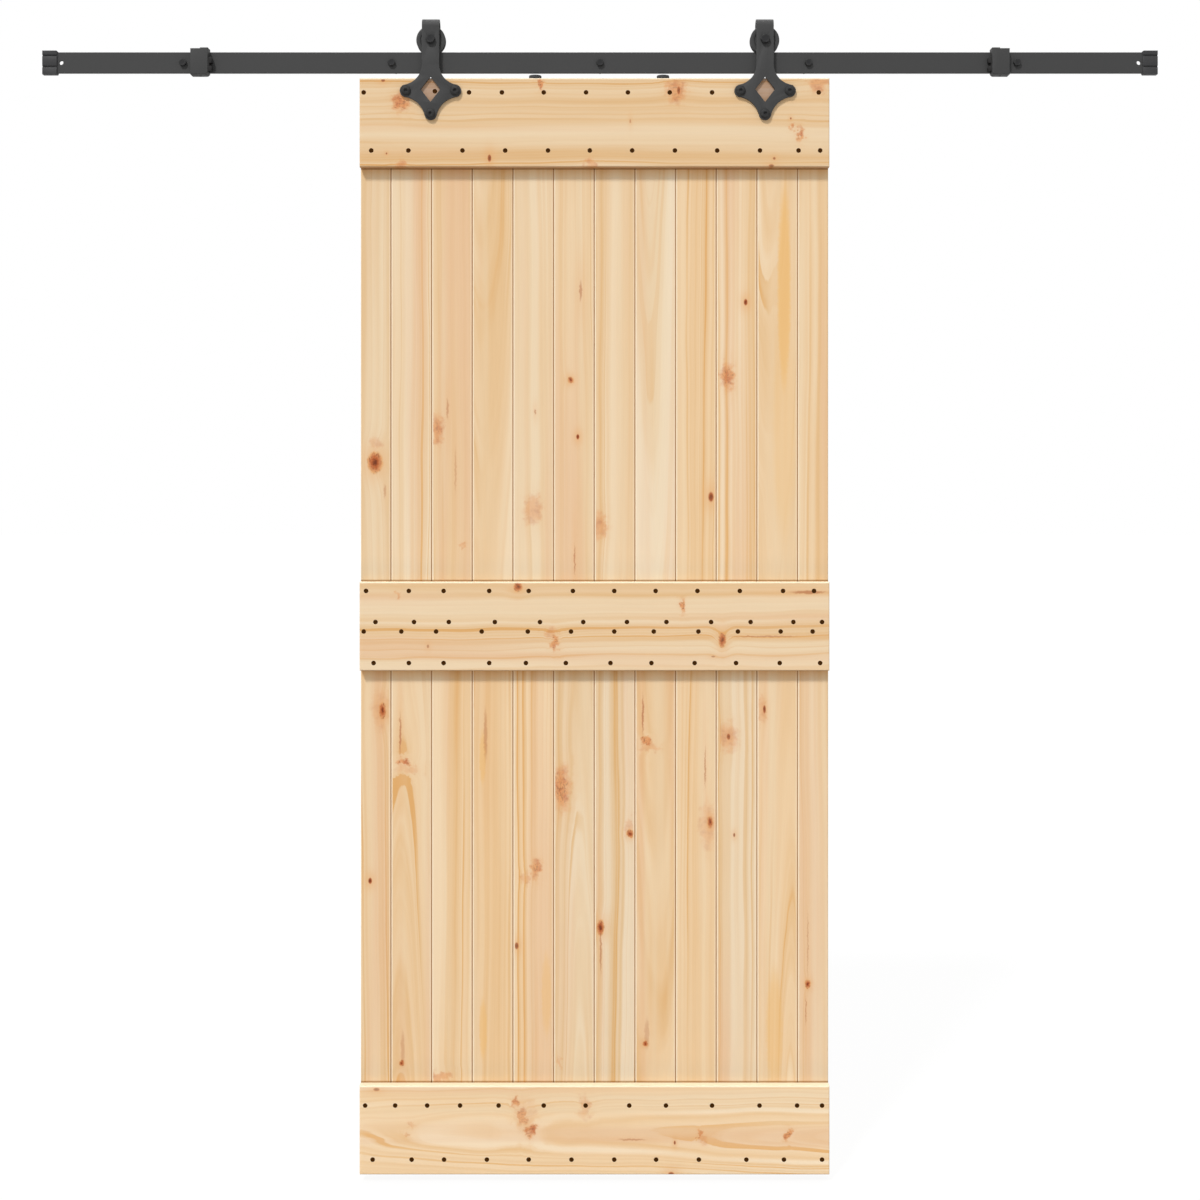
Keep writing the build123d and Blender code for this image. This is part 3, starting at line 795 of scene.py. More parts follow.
@dataclass(frozen=True)
class Board:
    """One board of the leaf, as its CAD node holds it.

    Attributes:
        node: The CAD node's name.
        grain: Which way its fibres run.
        low: Lowest corner of the face that shows, in metres.
        high: Highest corner of the face that shows, in metres.
        knots: Marks on this board.
        seed: Seed of the board's own growth.
        flat_sawn: True where the face shows arched grain in place of straight lines.
        edges: Wear, painted highlights, dark seams and painted shade along its left and right edge, or along
            a level board's top and bottom edge.
        contacts: Heights at which a batten's edge lies on it, in metres, with the painted shade there.
        windows: Middles of the hanger plates' windows over it, along the rail and in height, where shade is
            painted on the wood.
        tint: Its lightness and warmth, where they aren't left to the seed.
    """

    node: str
    grain: Grain
    low: Vector
    high: Vector
    knots: tuple[Knot, ...]
    seed: int
    flat_sawn: bool
    edges: tuple[EdgeShade, EdgeShade] = (EASED_EDGE, EASED_EDGE)
    contacts: tuple[tuple[float, ContactShade], ...] = ()
    windows: tuple[tuple[float, float], ...] = ()
    tint: Optional[tuple[float, float]] = None

    @property
    def centre(self) -> Vector:
        """Middle of the board."""
        return (self.low + self.high) / 2

    @property
    def turn(self) -> Euler:
        """Turn that brings the fibres onto the local Z axis."""
        return Euler((0, -math.pi / 2 if self.grain is Grain.LEVEL else 0, 0))

    def local(self, x: float, z: float) -> tuple[float, float]:
        """Place on the front face, across and along the fibres.

        Args:
            x: Place along the rail, in metres.
            z: Height, in metres.

        Returns:
            Distance across and along the fibres from the board's middle.
        """
        placed = self.turn.to_matrix() @ (Vector((x, self.centre.y, z)) - self.centre)
        return placed.x, placed.z

    def half_size(self) -> tuple[float, float]:
        """Half the board's width across the fibres, and half its length along them."""
        size = (self.high - self.low) / 2
        return (size.z, size.x) if self.grain is Grain.LEVEL else (size.x, size.z)


@dataclass(frozen=True)
class Marks:
    """Sockets that say where a board's marks lie.

    Attributes:
        nearest: Distance from the nearest tight knot, in radii.
        tight: Strength of tight knots.
        patch: Strength of patches.
        streak: Strength of resin streaks.
        flame: Strength of amber flames.
        glow: Strength of the resin round every mark.
        swirl: How far the rings bend round the marks, in metres.
    """

    nearest: NodeValue
    tight: NodeValue
    patch: NodeValue
    streak: NodeValue
    flame: NodeValue
    glow: NodeValue
    swirl: NodeValue


@dataclass(frozen=True)
class PineFinish:
    """Planed pine as a solid texture: rings about a pith, knots that bend them, and fine fibres.

    Attributes:
        cream: Palest early wood.
        honey: Common tone of the face.
        tan: Late wood.
        amber: Densest late wood.
        blush: Pinkish heart wood.
        sapwood: Pale cool sapwood.
        knot_heart: Middle of a tight knot.
        knot_body: Body of a tight knot.
        knot_rim: Rim of a tight knot.
        resin: Tint of the wood near a knot.
        patch: Tint of a patch of torn grain.
        patch_deep: Deeper tint inside a patch.
        fleck: Dark flecks in knots and patches.
        streak: Resin streaks along the grain.
        flame: Long flames of amber late wood.
        joint: Dark tint at the foot of each seam between planks, also laid as painted shade on the planks'
            right edges and along the battens' feet.
        painted_contact_shade: Share of each channel left in the painted dark line along a batten's edges.
        end_grain: Tint of cut ends.
        edge: Pale tint of the edges: wear on eased edges, and a painted highlight on the planks' left edges
            and the battens' top edges, which face the key lamp.
        painted_window_shade: Share of each channel that the painted shade leaves on the wood behind the
            hanger plates' windows.
        window_size: Half width and half height of those windows, in metres.
        light_spread: Share by which boards differ in lightness.
        warm_spread: Share by which boards differ in warmth.
    """

    cream: Colour = srgb(242, 217, 182)
    honey: Colour = srgb(237, 205, 163)
    tan: Colour = srgb(231, 193, 144)
    amber: Colour = srgb(226, 175, 112)
    blush: Colour = srgb(233, 190, 150)
    sapwood: Colour = srgb(240, 217, 182)
    knot_heart: Colour = srgb(116, 54, 26)
    knot_body: Colour = srgb(188, 100, 52)
    knot_rim: Colour = srgb(214, 146, 96)
    resin: Colour = srgb(230, 170, 108)
    patch: Colour = srgb(226, 152, 94)
    patch_deep: Colour = srgb(192, 94, 46)
    fleck: Colour = srgb(122, 54, 24)
    streak: Colour = srgb(172, 84, 38)
    flame: Colour = srgb(240, 190, 116)
    joint: Colour = srgb(168, 112, 58)
    painted_contact_shade: Colour = (0.46, 0.34, 0.21)
    end_grain: Colour = srgb(214, 170, 118)
    edge: Colour = srgb(253, 237, 208)
    painted_window_shade: Colour = (0.57, 0.52, 0.58)
    window_size: tuple[float, float] = (0.019, 0.02425)
    light_spread: float = 0.025
    warm_spread: float = 0.07

    def material(self, board: Board) -> bpy.types.Material:
        """Build the pine of one board.

        Args:
            board: The board to dress.

        Returns:
            The board's own node material.
        """
        desk = NodeDesk(f"pine_{board.node}")
        draw = random.Random(board.seed)
        shift = -(board.turn.to_matrix() @ board.centre)
        local = desk.placed(desk.object_coordinates, location=shift, rotation=board.turn)
        marks = self._marks(desk, board, local, draw)
        radius = self._ring_radius(desk, board, local, marks.swirl, draw)
        tone = self._tone(desk, board, local, radius, draw)
        fibre = self._grown(desk, local, draw, FIBRE_CELLS, 3.0, 0.6)
        colour = self._face_colour(desk, board, local, tone, draw)
        colour = desk.mix(1.0, colour, desk.math("MULTIPLY_ADD", fibre, 0.07, 0.965), "MULTIPLY")
        colour = self._mark_colour(desk, local, colour, marks, draw)
        colour = self._worn_and_shaded_colour(desk, board, local, colour)
        height = desk.math("MULTIPLY_ADD", tone, 0.4, desk.math("MULTIPLY", fibre, 0.6))
        return desk.surface(
            Base_Color=colour,
            Roughness=desk.math("MULTIPLY_ADD", fibre, 0.2, 0.46),
            Specular_IOR_Level=0.25,
            Normal=desk.bump(height, 0.3, 0.0002),
        )

    def _offset(self, draw: random.Random) -> tuple[float, float, float]:
        """Draw a far shift that sets one board's noise apart from the others."""
        return tuple(draw.uniform(-60, 60) for _ in range(3))

    def _grown(
        self,
        desk: NodeDesk,
        local: NodeSocket,
        draw: random.Random,
        cells: Sequence[float],
        detail: float = 2.0,
        roughness: float = 0.5,
    ) -> NodeSocket:
        """Add noise of the board's own, drawn out along the fibres.

        Args:
            desk: The material's nodes.
            local: Coordinates about the board's middle.
            draw: The board's own random numbers.
            cells: Cells for a metre along each axis.
            detail: Octaves of finer noise.
            roughness: Strength of the finer noise.

        Returns:
            The noise, 0 to 1.
        """
        place = desk.placed(local, self._offset(draw), scale=cells)
        return desk.noise(place, 1.0, detail, roughness).outputs[0]

    def _ragged(
        self, desk: NodeDesk, local: NodeSocket, draw: random.Random, scale: float, reach: Sequence[float]
    ) -> NodeSocket:
        """Shake coordinates so that outlines come out uneven.

        Args:
            desk: The material's nodes.
            local: The coordinates to shake.
            draw: The board's own random numbers.
            scale: Shakes for each metre.
            reach: Reach of the shakes along each axis, in metres.

        Returns:
            The shaken coordinates.
        """
        jitter = desk.noise(desk.placed(local, location=self._offset(draw)), scale, 3.0, 0.6).outputs[1]
        centred = desk.vector("SUBTRACT", jitter, (0.5, 0.5, 0.5)).outputs[0]
        return desk.vector("ADD", local, desk.vector("MULTIPLY", centred, reach).outputs[0]).outputs[0]

    def _marks(self, desk: NodeDesk, board: Board, local: NodeSocket, draw: random.Random) -> Marks:
        """Place the board's knots, patches and streaks.

        Args:
            desk: The material's nodes.
            board: The board with its marks.
            local: Coordinates about the board's middle.
            draw: The board's own random numbers.

        Returns:
            Where the marks lie.
        """
        wavy = self._ragged(desk, local, draw, 120.0, (0.006, 0.0, 0.008))
        torn = self._ragged(desk, local, draw, 70.0, (0.030, 0.0, 0.040))
        outlines = {Outline.EVEN: local, Outline.WAVY: wavy, Outline.TORN: torn}
        nearest, swirl, glow = 9.0, 0.0, 0.0
        strength = {KnotKind.TIGHT: 0.0, KnotKind.PATCH: 0.0, KnotKind.STREAK: 0.0, KnotKind.FLAME: 0.0}
        for knot in board.knots:
            look = MARK_LOOKS[knot.kind]
            across, along = board.local(knot.x * MM, knot.z * MM)
            sizes = (knot.half_width * MM, knot.half_height * MM)
            wide, long = reversed(sizes) if board.grain is Grain.LEVEL else sizes
            middle = (-across / wide, 0, -along / long)
            scaled = desk.placed(outlines[look.outline], location=middle, scale=(1 / wide, 0, 1 / long))
            distance = desk.vector("LENGTH", scaled).outputs[1]
            kind = KnotKind.TIGHT if knot.kind is KnotKind.PIN else knot.kind
            shown = desk.spread(distance, look.outer, look.inner, 0.0, knot.strength)
            strength[kind] = desk.math("MAXIMUM", strength[kind], shown)
            square = desk.math("MULTIPLY", distance, distance)
            halo = desk.math("EXPONENT", desk.math("MULTIPLY", square, -look.fade))
            glow = desk.math("MAXIMUM", glow, desk.math("MULTIPLY", halo, look.glow * knot.strength))
            if kind is KnotKind.TIGHT:
                pin = knot.kind is KnotKind.PIN
                near = desk.math("MULTIPLY", distance, PIN_DEPTH_SHARE) if pin else distance
                nearest = desk.math("MINIMUM", nearest, near)
            if look.bend:
                fall = desk.math("EXPONENT", desk.math("MULTIPLY", square, -BEND_FADE))
                swirl = desk.math("MULTIPLY_ADD", fall, look.bend * wide, swirl)
        return Marks(nearest, *strength.values(), glow, swirl)

    def _ring_radius(
        self, desk: NodeDesk, board: Board, local: NodeSocket, swirl: NodeValue, draw: random.Random
    ) -> NodeSocket:
        """Distance from the board's pith, bent by slow waver and by the knots.

        Args:
            desk: The material's nodes.
            board: The board that grew about the pith.
            local: Coordinates about the board's middle.
            swirl: How far the knots bend the rings.
            draw: The board's own random numbers.

        Returns:
            The distance in metres.
        """
        side = draw.choice((-1, 1))
        if board.flat_sawn:
            pith = (side * draw.uniform(0.0, 0.025), draw.choice((-1, 1)) * draw.uniform(0.03, 0.06))
            lean = (draw.uniform(-0.006, 0.006), draw.choice((-1, 1)) * draw.uniform(0.03, 0.05))
        else:
            pith = (side * draw.uniform(0.1, 0.2), draw.uniform(-0.06, 0.06))
            lean = (draw.uniform(-0.012, 0.012), draw.uniform(-0.02, 0.02))
        waver = self._grown(desk, local, draw, WAVER_CELLS[board.grain])
        ripple = self._grown(desk, local, draw, RIPPLE_CELLS)
        across, depth, along = desk.axes(local)
        off_side = desk.math("SUBTRACT", desk.math("MULTIPLY_ADD", along, -lean[0], across), pith[0])
        off_depth = desk.math("SUBTRACT", desk.math("MULTIPLY_ADD", along, -lean[1], depth), pith[1])
        squares = desk.math("MULTIPLY_ADD", off_side, off_side, desk.math("MULTIPLY", off_depth, off_depth))
        radius = desk.math("MULTIPLY_ADD", waver, WAVER_REACH, desk.math("SQRT", squares))
        radius = desk.math("MULTIPLY_ADD", ripple, RIPPLE_REACH, radius)
        return desk.math("ADD", radius, swirl)

    def _tone(
        self, desk: NodeDesk, board: Board, local: NodeSocket, radius: NodeSocket, draw: random.Random
    ) -> NodeSocket:
        """Share of late wood: broad bands, finer lines in some zones and a slow drift along the board.

        Args:
            desk: The material's nodes.
            board: The board to shade.
            local: Coordinates about the board's middle.
            radius: Distance from the pith.
            draw: The board's own random numbers.

        Returns:
            The share, about 0 to 1.
        """
        place = desk.math("ADD", radius, draw.uniform(1, 9))
        broad = desk.line_noise(place, draw.uniform(*BROAD_BANDS), 3.0, 0.5)
        lines = desk.line_noise(place, draw.uniform(*FINE_LINES), 3.0, 0.55)
        veins = desk.spread(desk.line_noise(place, draw.uniform(*VEINS), 2.0, 0.5), 0.6, 0.7)
        zone = self._grown(desk, local, draw, ZONE_CELLS)
        shown = desk.spread(zone, 0.38, 0.66, 0.2, 1.25)
        drift = self._grown(desk, local, draw, DRIFT_CELLS, 3.0)
        strong = FLAT_SAWN_GAIN if board.flat_sawn else 1.0
        strong *= LEVEL_GAIN if board.grain is Grain.LEVEL else 1.0
        fine = desk.math("MULTIPLY_ADD", lines, LINE_CONTRAST * strong, -LINE_MEAN * strong)
        fine = desk.math("MULTIPLY_ADD", veins, VEIN_CONTRAST * strong, fine)
        tone = desk.math("MULTIPLY_ADD", broad, BAND_CONTRAST, TONE_MEAN - BAND_CONTRAST / 2)
        tone = desk.math("MULTIPLY_ADD", fine, shown, tone)
        tone = desk.math("SUBTRACT", tone, DRIFT_CONTRAST / 2)
        return desk.math("MULTIPLY_ADD", drift, DRIFT_CONTRAST, tone)

    def _face_colour(
        self, desk: NodeDesk, board: Board, local: NodeSocket, tone: NodeSocket, draw: random.Random
    ) -> NodeSocket:
        """Colour of clear wood.

        Args:
            desk: The material's nodes.
            board: The board to colour.
            local: Coordinates about the board's middle.
            tone: Share of late wood.
            draw: The board's own random numbers.

        Returns:
            The colour.
        """
        drawn_light = 1 + draw.uniform(-self.light_spread, self.light_spread)
        drawn_warm = draw.uniform(-self.warm_spread, self.warm_spread)
        light, warm = board.tint or (drawn_light, drawn_warm)
        tint = (light, light * (1 - warm * 0.8), light * (1 - warm * 2.0))
        stops = ((0.1, self.cream), (0.42, self.honey), (0.74, self.tan), (1.0, self.amber))
        stops = [(at, tuple(min(1.0, c * t) for c, t in zip(colour, tint))) for at, colour in stops]
        colour = desk.ramp(tone, stops)
        heart = self._grown(desk, local, draw, HEART_CELLS)
        colour = desk.mix(desk.spread(heart, 0.48, 0.72, 0.0, 0.55), colour, self.blush)
        outer = self._grown(desk, local, draw, SAPWOOD_CELLS)
        return desk.mix(desk.spread(outer, 0.48, 0.72, 0.0, 0.6), colour, self.sapwood)

    def _mark_colour(
        self, desk: NodeDesk, local: NodeSocket, colour: NodeSocket, marks: Marks, draw: random.Random
    ) -> NodeSocket:
        """Lay the knots, patches and streaks over the clear wood.

        Args:
            desk: The material's nodes.
            local: Coordinates about the board's middle.
            colour: Colour of the clear wood.
            marks: Where the marks lie.
            draw: The board's own random numbers.

        Returns:
            The colour with the marks in it.
        """
        mottle = desk.noise(desk.placed(local, location=self._offset(draw)), 260.0, 4.0, 0.65).outputs[0]
        cracks = self._grown(desk, local, draw, CRACK_CELLS, 3.0, 0.6)
        cracked = desk.spread(cracks, 0.53, 0.61)
        if isinstance(marks.flame, NodeSocket):
            colour = desk.mix(marks.flame, colour, self.flame)
        if isinstance(marks.glow, NodeSocket):
            colour = desk.mix(marks.glow, colour, self.resin)
        if isinstance(marks.patch, NodeSocket):
            cloud = desk.noise(desk.placed(local, location=self._offset(draw)), 75.0, 3.0, 0.55).outputs[0]
            flesh = desk.mix(desk.spread(cloud, 0.4, 0.7), self.patch, self.patch_deep)
            torn = desk.math("MULTIPLY", cracked, desk.spread(marks.patch, 0.35, 0.8, 0.0, 0.75))
            colour = desk.mix(marks.patch, colour, desk.mix(torn, flesh, self.fleck))
        if isinstance(marks.nearest, NodeSocket):
            depth = desk.math("MULTIPLY_ADD", mottle, 0.5, desk.math("SUBTRACT", marks.nearest, 0.25))
            stops = ((0.1, self.knot_heart), (0.45, self.knot_body), (0.8, self.knot_rim), (1.0, self.resin))
            body = desk.ramp(depth, stops)
            body = desk.mix(desk.math("MULTIPLY", cracked, 0.45), body, self.fleck)
            colour = desk.mix(marks.tight, colour, body)
        if isinstance(marks.streak, NodeSocket):
            colour = desk.mix(marks.streak, colour, self.streak)
        return colour

    def _worn_and_shaded_colour(self, desk: NodeDesk, board: Board, local: NodeSocket, colour: NodeSocket) -> NodeSocket:
        """Pale the eased edges as wear and paint highlights on edges that face the key lamp, darken the seams
        and paint shade on their far sides, along the battens' edges and behind the hanger plates' windows,
        and darken the cut ends.

        Args:
            desk: The material's nodes.
            board: The board to colour.
            local: Coordinates about the board's middle.
            colour: Colour before the wear and the painted light and shade.

        Returns:
            The colour with the wear and the painted light and shade on it.
        """
        half_width, half_length = board.half_size()
        across, depth, along = desk.axes(local)
        front_depth = (board.low.y - board.high.y) / 2
        front = desk.spread(depth, *(front_depth + fade for fade in FRONT_FADE))
        chips = desk.noise(desk.placed(local, scale=(1, 1, 0.25)), 240.0, 3.0, 0.6).outputs[0]
        # Pale lines: wear and painted highlights; dark lines: dark seams and painted shade.
        for shade, side in zip(board.edges, (-1, 1)):
            foot = desk.math("MULTIPLY", across, side)
            reach = desk.math("MULTIPLY_ADD", chips, CHIP_REACH, foot)
            starts, full = (half_width - inset + CHIP_REACH / 2 for inset in (shade.pale_from, shade.pale_to))
            pale = desk.spread(reach, starts, full, 0.0, shade.pale)
            colour = desk.mix(pale, colour, self.edge)
            starts, full = half_width - shade.dark_from, half_width - shade.dark_to
            dark = desk.spread(foot, starts, full, 0.0, shade.dark)
            colour = desk.mix(dark, colour, self.joint)
        # Painted shade along the battens' edges, and painted shadow below them, on the front face only.
        for height, shade in board.contacts:
            gap = desk.math("ABSOLUTE", desk.math("SUBTRACT", along, height - board.centre.z))
            line = desk.spread(gap, shade.line_width, shade.line_width * 0.3, 0.0, shade.line)
            soft = desk.spread(gap, shade.soft_width, 0.0)
            colour = desk.mix(desk.math("MULTIPLY", front, soft), colour, shade.soft, "MULTIPLY")
            colour = desk.mix(desk.math("MULTIPLY", front, line), colour, self.painted_contact_shade, "MULTIPLY")
        # Painted shade on the wood behind the hanger plates' windows.
        for x, z in board.windows:
            middle = board.local(x, z)
            sides = [
                desk.math("MULTIPLY", desk.math("ABSOLUTE", desk.math("SUBTRACT", place, off)), 1 / half)
                for place, off, half in zip((across, along), middle, reversed(self.window_size))
            ]
            inside = desk.spread(desk.math("ADD", *sides), *WINDOW_FADE)
            colour = desk.mix(inside, colour, desk.mix(1.0, colour, self.painted_window_shade, "MULTIPLY"))
        starts, full = (half_length - inset for inset in END_FADE)
        end = desk.spread(desk.math("ABSOLUTE", along), starts, full, 0.0, END_STRENGTH)
        return desk.mix(end, colour, self.end_grain)


@dataclass(frozen=True)
class Station:
    """One cross-section along a fastener's axis, in millimetres.

    Attributes:
        height: Place along the axis, growing towards the head.
        size: Radius, half the width across flats, or reach of a cross's arms.
        section: Outline of the cross-section.
    """

    height: float
    size: float
    section: Section = Section.ROUND

    def point(self, angle: float) -> Vector:
        """Point of the outline at an angle about the axis.

        Args:
            angle: Angle about the axis, in radians.

        Returns:
            The point in millimetres.
        """
        if self.section is Section.ROUND:
            return Vector((self.size * math.cos(angle), self.size * math.sin(angle), self.height))
        if self.section is Section.CROSS:
            return self._cross_point(angle)
        reach = self.size / math.cos(angle % (math.pi / 3) - math.pi / 6)
        fall = (reach - self.size) * CROWN_SLOPE if self.section is Section.CROWNED else 0.0
        return Vector((reach * math.cos(angle), reach * math.sin(angle), self.height - fall))

    def _cross_point(self, angle: float) -> Vector:
        """Point of a four-armed driver recess, on a ring of sixteen."""
        quarter, step = divmod(round(angle / (math.pi / 8)) % 16, 4)
        wide, tip = self.size * CROSS_ARM_SHARE, self.size * CROSS_TIP_SHARE
        x, y = ((self.size, 0.0), (tip, wide), (wide, wide), (wide, tip))[step]
        point = Vector((x, y, self.height))
        point.rotate(Euler((0, 0, quarter * math.pi / 2)))
        return point



def solid_centres(node: str) -> list[Vector]:
    """Find the separate solids of one CAD node.

    Args:
        node: The node's name.

    Returns:
        Centres of their boxes in millimetres, from left to right and from the top.
    """
    mesh = bmesh.new()
    mesh.from_mesh(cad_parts[node].data)
    bmesh.ops.remove_doubles(mesh, verts=mesh.verts, dist=1e-6)
    waiting = set(mesh.verts)
    centres = []
    while waiting:
        island = [waiting.pop()]
        for vert in island:
            for other in (edge.other_vert(vert) for edge in vert.link_edges):
                if other in waiting:
                    waiting.discard(other)
                    island.append(other)
        spans = [(min(v.co[i] for v in island), max(v.co[i] for v in island)) for i in range(3)]
        centres.append(Vector([(low + high) / 2 / MM for low, high in spans]))
    mesh.free()
    return sorted(centres, key=lambda centre: (round(centre.x, 1), -round(centre.z, 1)))


class Workpiece:
    """One piece in the making, modelled in millimetres of the frame."""

    def __init__(self, name: str) -> None:
        """Start an empty piece of that name."""
        self.name = name
        self.mesh = bmesh.new()
        self.mesh.faces.layers.float.new("worn_edge")

    def _added(self, known: set) -> dict[str, list]:
        """Geometry made since a set of vertices was noted."""
        verts = [vert for vert in self.mesh.verts if vert not in known]
        edges = list({edge for vert in verts for edge in vert.link_edges})
        faces = list({face for vert in verts for face in vert.link_faces})
        return {"verts": verts, "edges": edges, "faces": faces}

    def _volume(self) -> float:
        """Volume inside the faces, below zero where they point inwards."""
        return self.mesh.calc_volume(signed=True)

    def _face_outwards(self, known: set, volume: float) -> dict[str, list]:
        """Turn the shell made since a set of vertices was noted so that its faces point outwards.

        Args:
            known: The vertices that were there before.
            volume: The volume that was there before.

        Returns:
            The shell's geometry.
        """
        added = self._added(known)
        bmesh.ops.recalc_face_normals(self.mesh, faces=added["faces"])
        if self._volume() < volume:
            bmesh.ops.reverse_faces(self.mesh, faces=added["faces"])
        return added

    def _mark_worn(self, faces: Iterable[bmesh.types.BMFace]) -> None:
        """Note faces where the coat is rubbed."""
        layer = self.mesh.faces.layers.float["worn_edge"]
        for face in faces:
            face[layer] = 1.0

    def _ring(self, level: int, segments: int) -> list[bmesh.types.BMVert]:
        """Lay one plain ring at a level of its own, for bridging."""
        lift = Matrix.Translation((0, 0, level))
        made = bmesh.ops.create_circle(self.mesh, segments=segments, radius=1.0, cap_ends=False, matrix=lift)
        return made["verts"]

    def stack(
        self, stations: Sequence[Station], segments: int = 24, closed: bool = False, worn: Sequence[int] = ()
    ) -> list[bmesh.types.BMVert]:
        """Bridge cross-sections along local Z into one closed shell.

        Args:
            stations: The cross-sections in order.
            segments: Points on each.
            closed: True to bridge the last to the first, for a shape with a hole through it.
            worn: Bridges, by their place in the order, that are rubbed.

        Returns:
            The new vertices.
        """
        known, volume = set(self.mesh.verts), self._volume()
        rings = [self._ring(level, segments) for level in range(len(stations))]
        loops = [list({edge for vert in ring for edge in vert.link_edges}) for ring in rings]
        pairs = list(zip(loops, loops[1:])) + ([(loops[-1], loops[0])] if closed else [])
        for number, (lower, upper) in enumerate(pairs):
            made = bmesh.ops.bridge_loops(self.mesh, edges=lower + upper)
            if number in worn:
                self._mark_worn(made["faces"])
        if not closed:
            for loop in (loops[0], loops[-1]):
                bmesh.ops.edgeloop_fill(self.mesh, edges=loop)
        for station, ring in zip(stations, rings):
            for vert in ring:
                vert.co = station.point(math.atan2(vert.co.y, vert.co.x) % (2 * math.pi))
        return self._face_outwards(known, volume)["verts"]

    def turn(
        self, profile: Sequence[tuple[float, float]], steps: int, worn: Sequence[int] = ()
    ) -> list[bmesh.types.BMVert]:
        """Spin a closed profile about local Z.

        Args:
            profile: Radius and height of each corner.
            steps: Facets round the axis.
            worn: Sides of the profile, by their place in the order, that are rubbed.

        Returns:
            The new vertices.
        """
        known, volume = set(self.mesh.verts), self._volume()
        verts = [self.mesh.verts.new((radius, 0, height)) for radius, height in profile]
        edges = [self.mesh.edges.new((a, b)) for a, b in zip(verts, verts[1:] + verts[:1])]
        rubbed = [(profile[i], profile[(i + 1) % len(profile)]) for i in worn]
        bmesh.ops.spin(
            self.mesh,
            geom=verts + edges,
            cent=(0, 0, 0),
            axis=(0, 0, 1),
            angle=2 * math.pi,
            steps=steps,
            use_merge=True,
        )
        bmesh.ops.remove_doubles(self.mesh, verts=self._added(known)["verts"], dist=0.001)
        added = self._face_outwards(known, volume)
        for low, high in rubbed:
            middle = Vector(((low[0] + high[0]) / 2, (low[1] + high[1]) / 2))
            near = [f for f in added["faces"] if (self._meridian(f) - middle).length < 0.15]
            self._mark_worn(near)
        return added["verts"]

    def _meridian(self, face: bmesh.types.BMFace) -> Vector:
        """Mean radius and height of a face's corners about local Z."""
        corners = [vert.co for vert in face.verts]
        count = len(corners)
        return Vector((sum(c.xy.length for c in corners) / count, sum(c.z for c in corners) / count))

    def thread(
        self, root: float, crest: float, low: float, high: float, pitch: float, steps: int = 16
    ) -> list[bmesh.types.BMVert]:
        """Wind a thread's ridge about local Z.

        Args:
            root: Radius at the foot of the ridge.
            crest: Radius at the top of the ridge.
            low: Height at which it starts.
            high: Height at which it ends.
            pitch: Rise in one turn.
            steps: Facets in one turn.

        Returns:
            The new vertices.
        """
        known, volume = set(self.mesh.verts), self._volume()
        foot, flat, sunk = pitch * THREAD_FOOT_SHARE, pitch * THREAD_CREST_SHARE, root - THREAD_SINK
        corners = ((sunk, -foot), (crest, -flat), (crest, flat), (sunk, foot))
        verts = [self.mesh.verts.new((radius, 0, low + foot + height)) for radius, height in corners]
        edges = [self.mesh.edges.new(pair) for pair in zip(verts, verts[1:] + verts[:1])]
        turns = (high - low - 2 * foot) / pitch
        count = max(3, round(turns * steps))
        bmesh.ops.spin(
            self.mesh,
            geom=verts + edges,
            cent=(0, 0, 0),
            axis=(0, 0, 1),
            dvec=(0, 0, turns * pitch / count),
            angle=2 * math.pi * turns,
            steps=count,
        )
        ends = [edge for edge in self._added(known)["edges"] if edge.is_boundary]
        bmesh.ops.holes_fill(self.mesh, edges=ends, sides=4)
        return self._face_outwards(known, volume)["verts"]

    def place(
        self, verts: Sequence[bmesh.types.BMVert], at: Sequence[float], facing: Matrix = TO_FRONT
    ) -> None:
        """Move a shape that was made at the origin.

        Args:
            verts: The shape's vertices.
            at: Where its origin goes, in millimetres.
            facing: Turn of its local Z axis.
        """
        bmesh.ops.transform(self.mesh, matrix=Matrix.Translation(Vector(at)) @ facing, verts=verts)

    def repeat(
        self,
        verts: Sequence[bmesh.types.BMVert],
        places: Sequence[Sequence[float]],
        facing: Matrix = TO_FRONT,
        turns: Sequence[float] = (),
    ) -> None:
        """Set copies of a shape that was made at the origin, and the shape itself at the last place.

        Args:
            verts: The shape's vertices.
            places: Where each goes, in millimetres.
            facing: Turn of its local Z axis.
            turns: Turn of each about its own axis, in radians.
        """
        faces = list({face for vert in verts for face in vert.link_faces})
        edges = list({edge for vert in verts for edge in vert.link_edges})
        spins = list(turns) or [0.0] * len(places)
        for at, spin in list(zip(places, spins))[:-1]:
            made = bmesh.ops.duplicate(self.mesh, geom=list(verts) + edges + faces)["geom"]
            copy = [item for item in made if isinstance(item, bmesh.types.BMVert)]
            self.place(copy, at, facing @ Matrix.Rotation(spin, 4, "Z"))
        self.place(verts, places[-1], facing @ Matrix.Rotation(spins[-1], 4, "Z"))

    def copy_node(self, node: str) -> None:
        """Take a copy of a CAD node's mesh, merged and with its flat faces joined."""
        self.mesh.from_mesh(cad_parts[node].data)
        verts = self.mesh.verts
        bmesh.ops.scale(self.mesh, vec=(1 / MM, 1 / MM, 1 / MM), verts=verts)
        bmesh.ops.remove_doubles(self.mesh, verts=verts, dist=0.002)
        bmesh.ops.dissolve_limit(
            self.mesh, angle_limit=math.radians(1), verts=list(verts), edges=list(self.mesh.edges)
        )

    def ease(self, width: float, sharper_than: float, segments: int = 2) -> None:
        """Round the outward edges and note them as rubbed.

        Args:
            width: Width of the rounding in millimetres.
            sharper_than: Angle between the faces, in degrees, from which an edge is rounded.
            segments: Facets across the rounding.
        """
        limit = math.radians(sharper_than)
        edges = [e for e in self.mesh.edges if e.is_manifold and e.calc_face_angle_signed() > limit]
        made = bmesh.ops.bevel(
            self.mesh,
            geom=edges,
            offset=width,
            offset_type="OFFSET",
            affect="EDGES",
            segments=segments,
            profile=0.5,
            material=-1,
            clamp_overlap=True,
        )
        self._mark_worn(made["faces"])

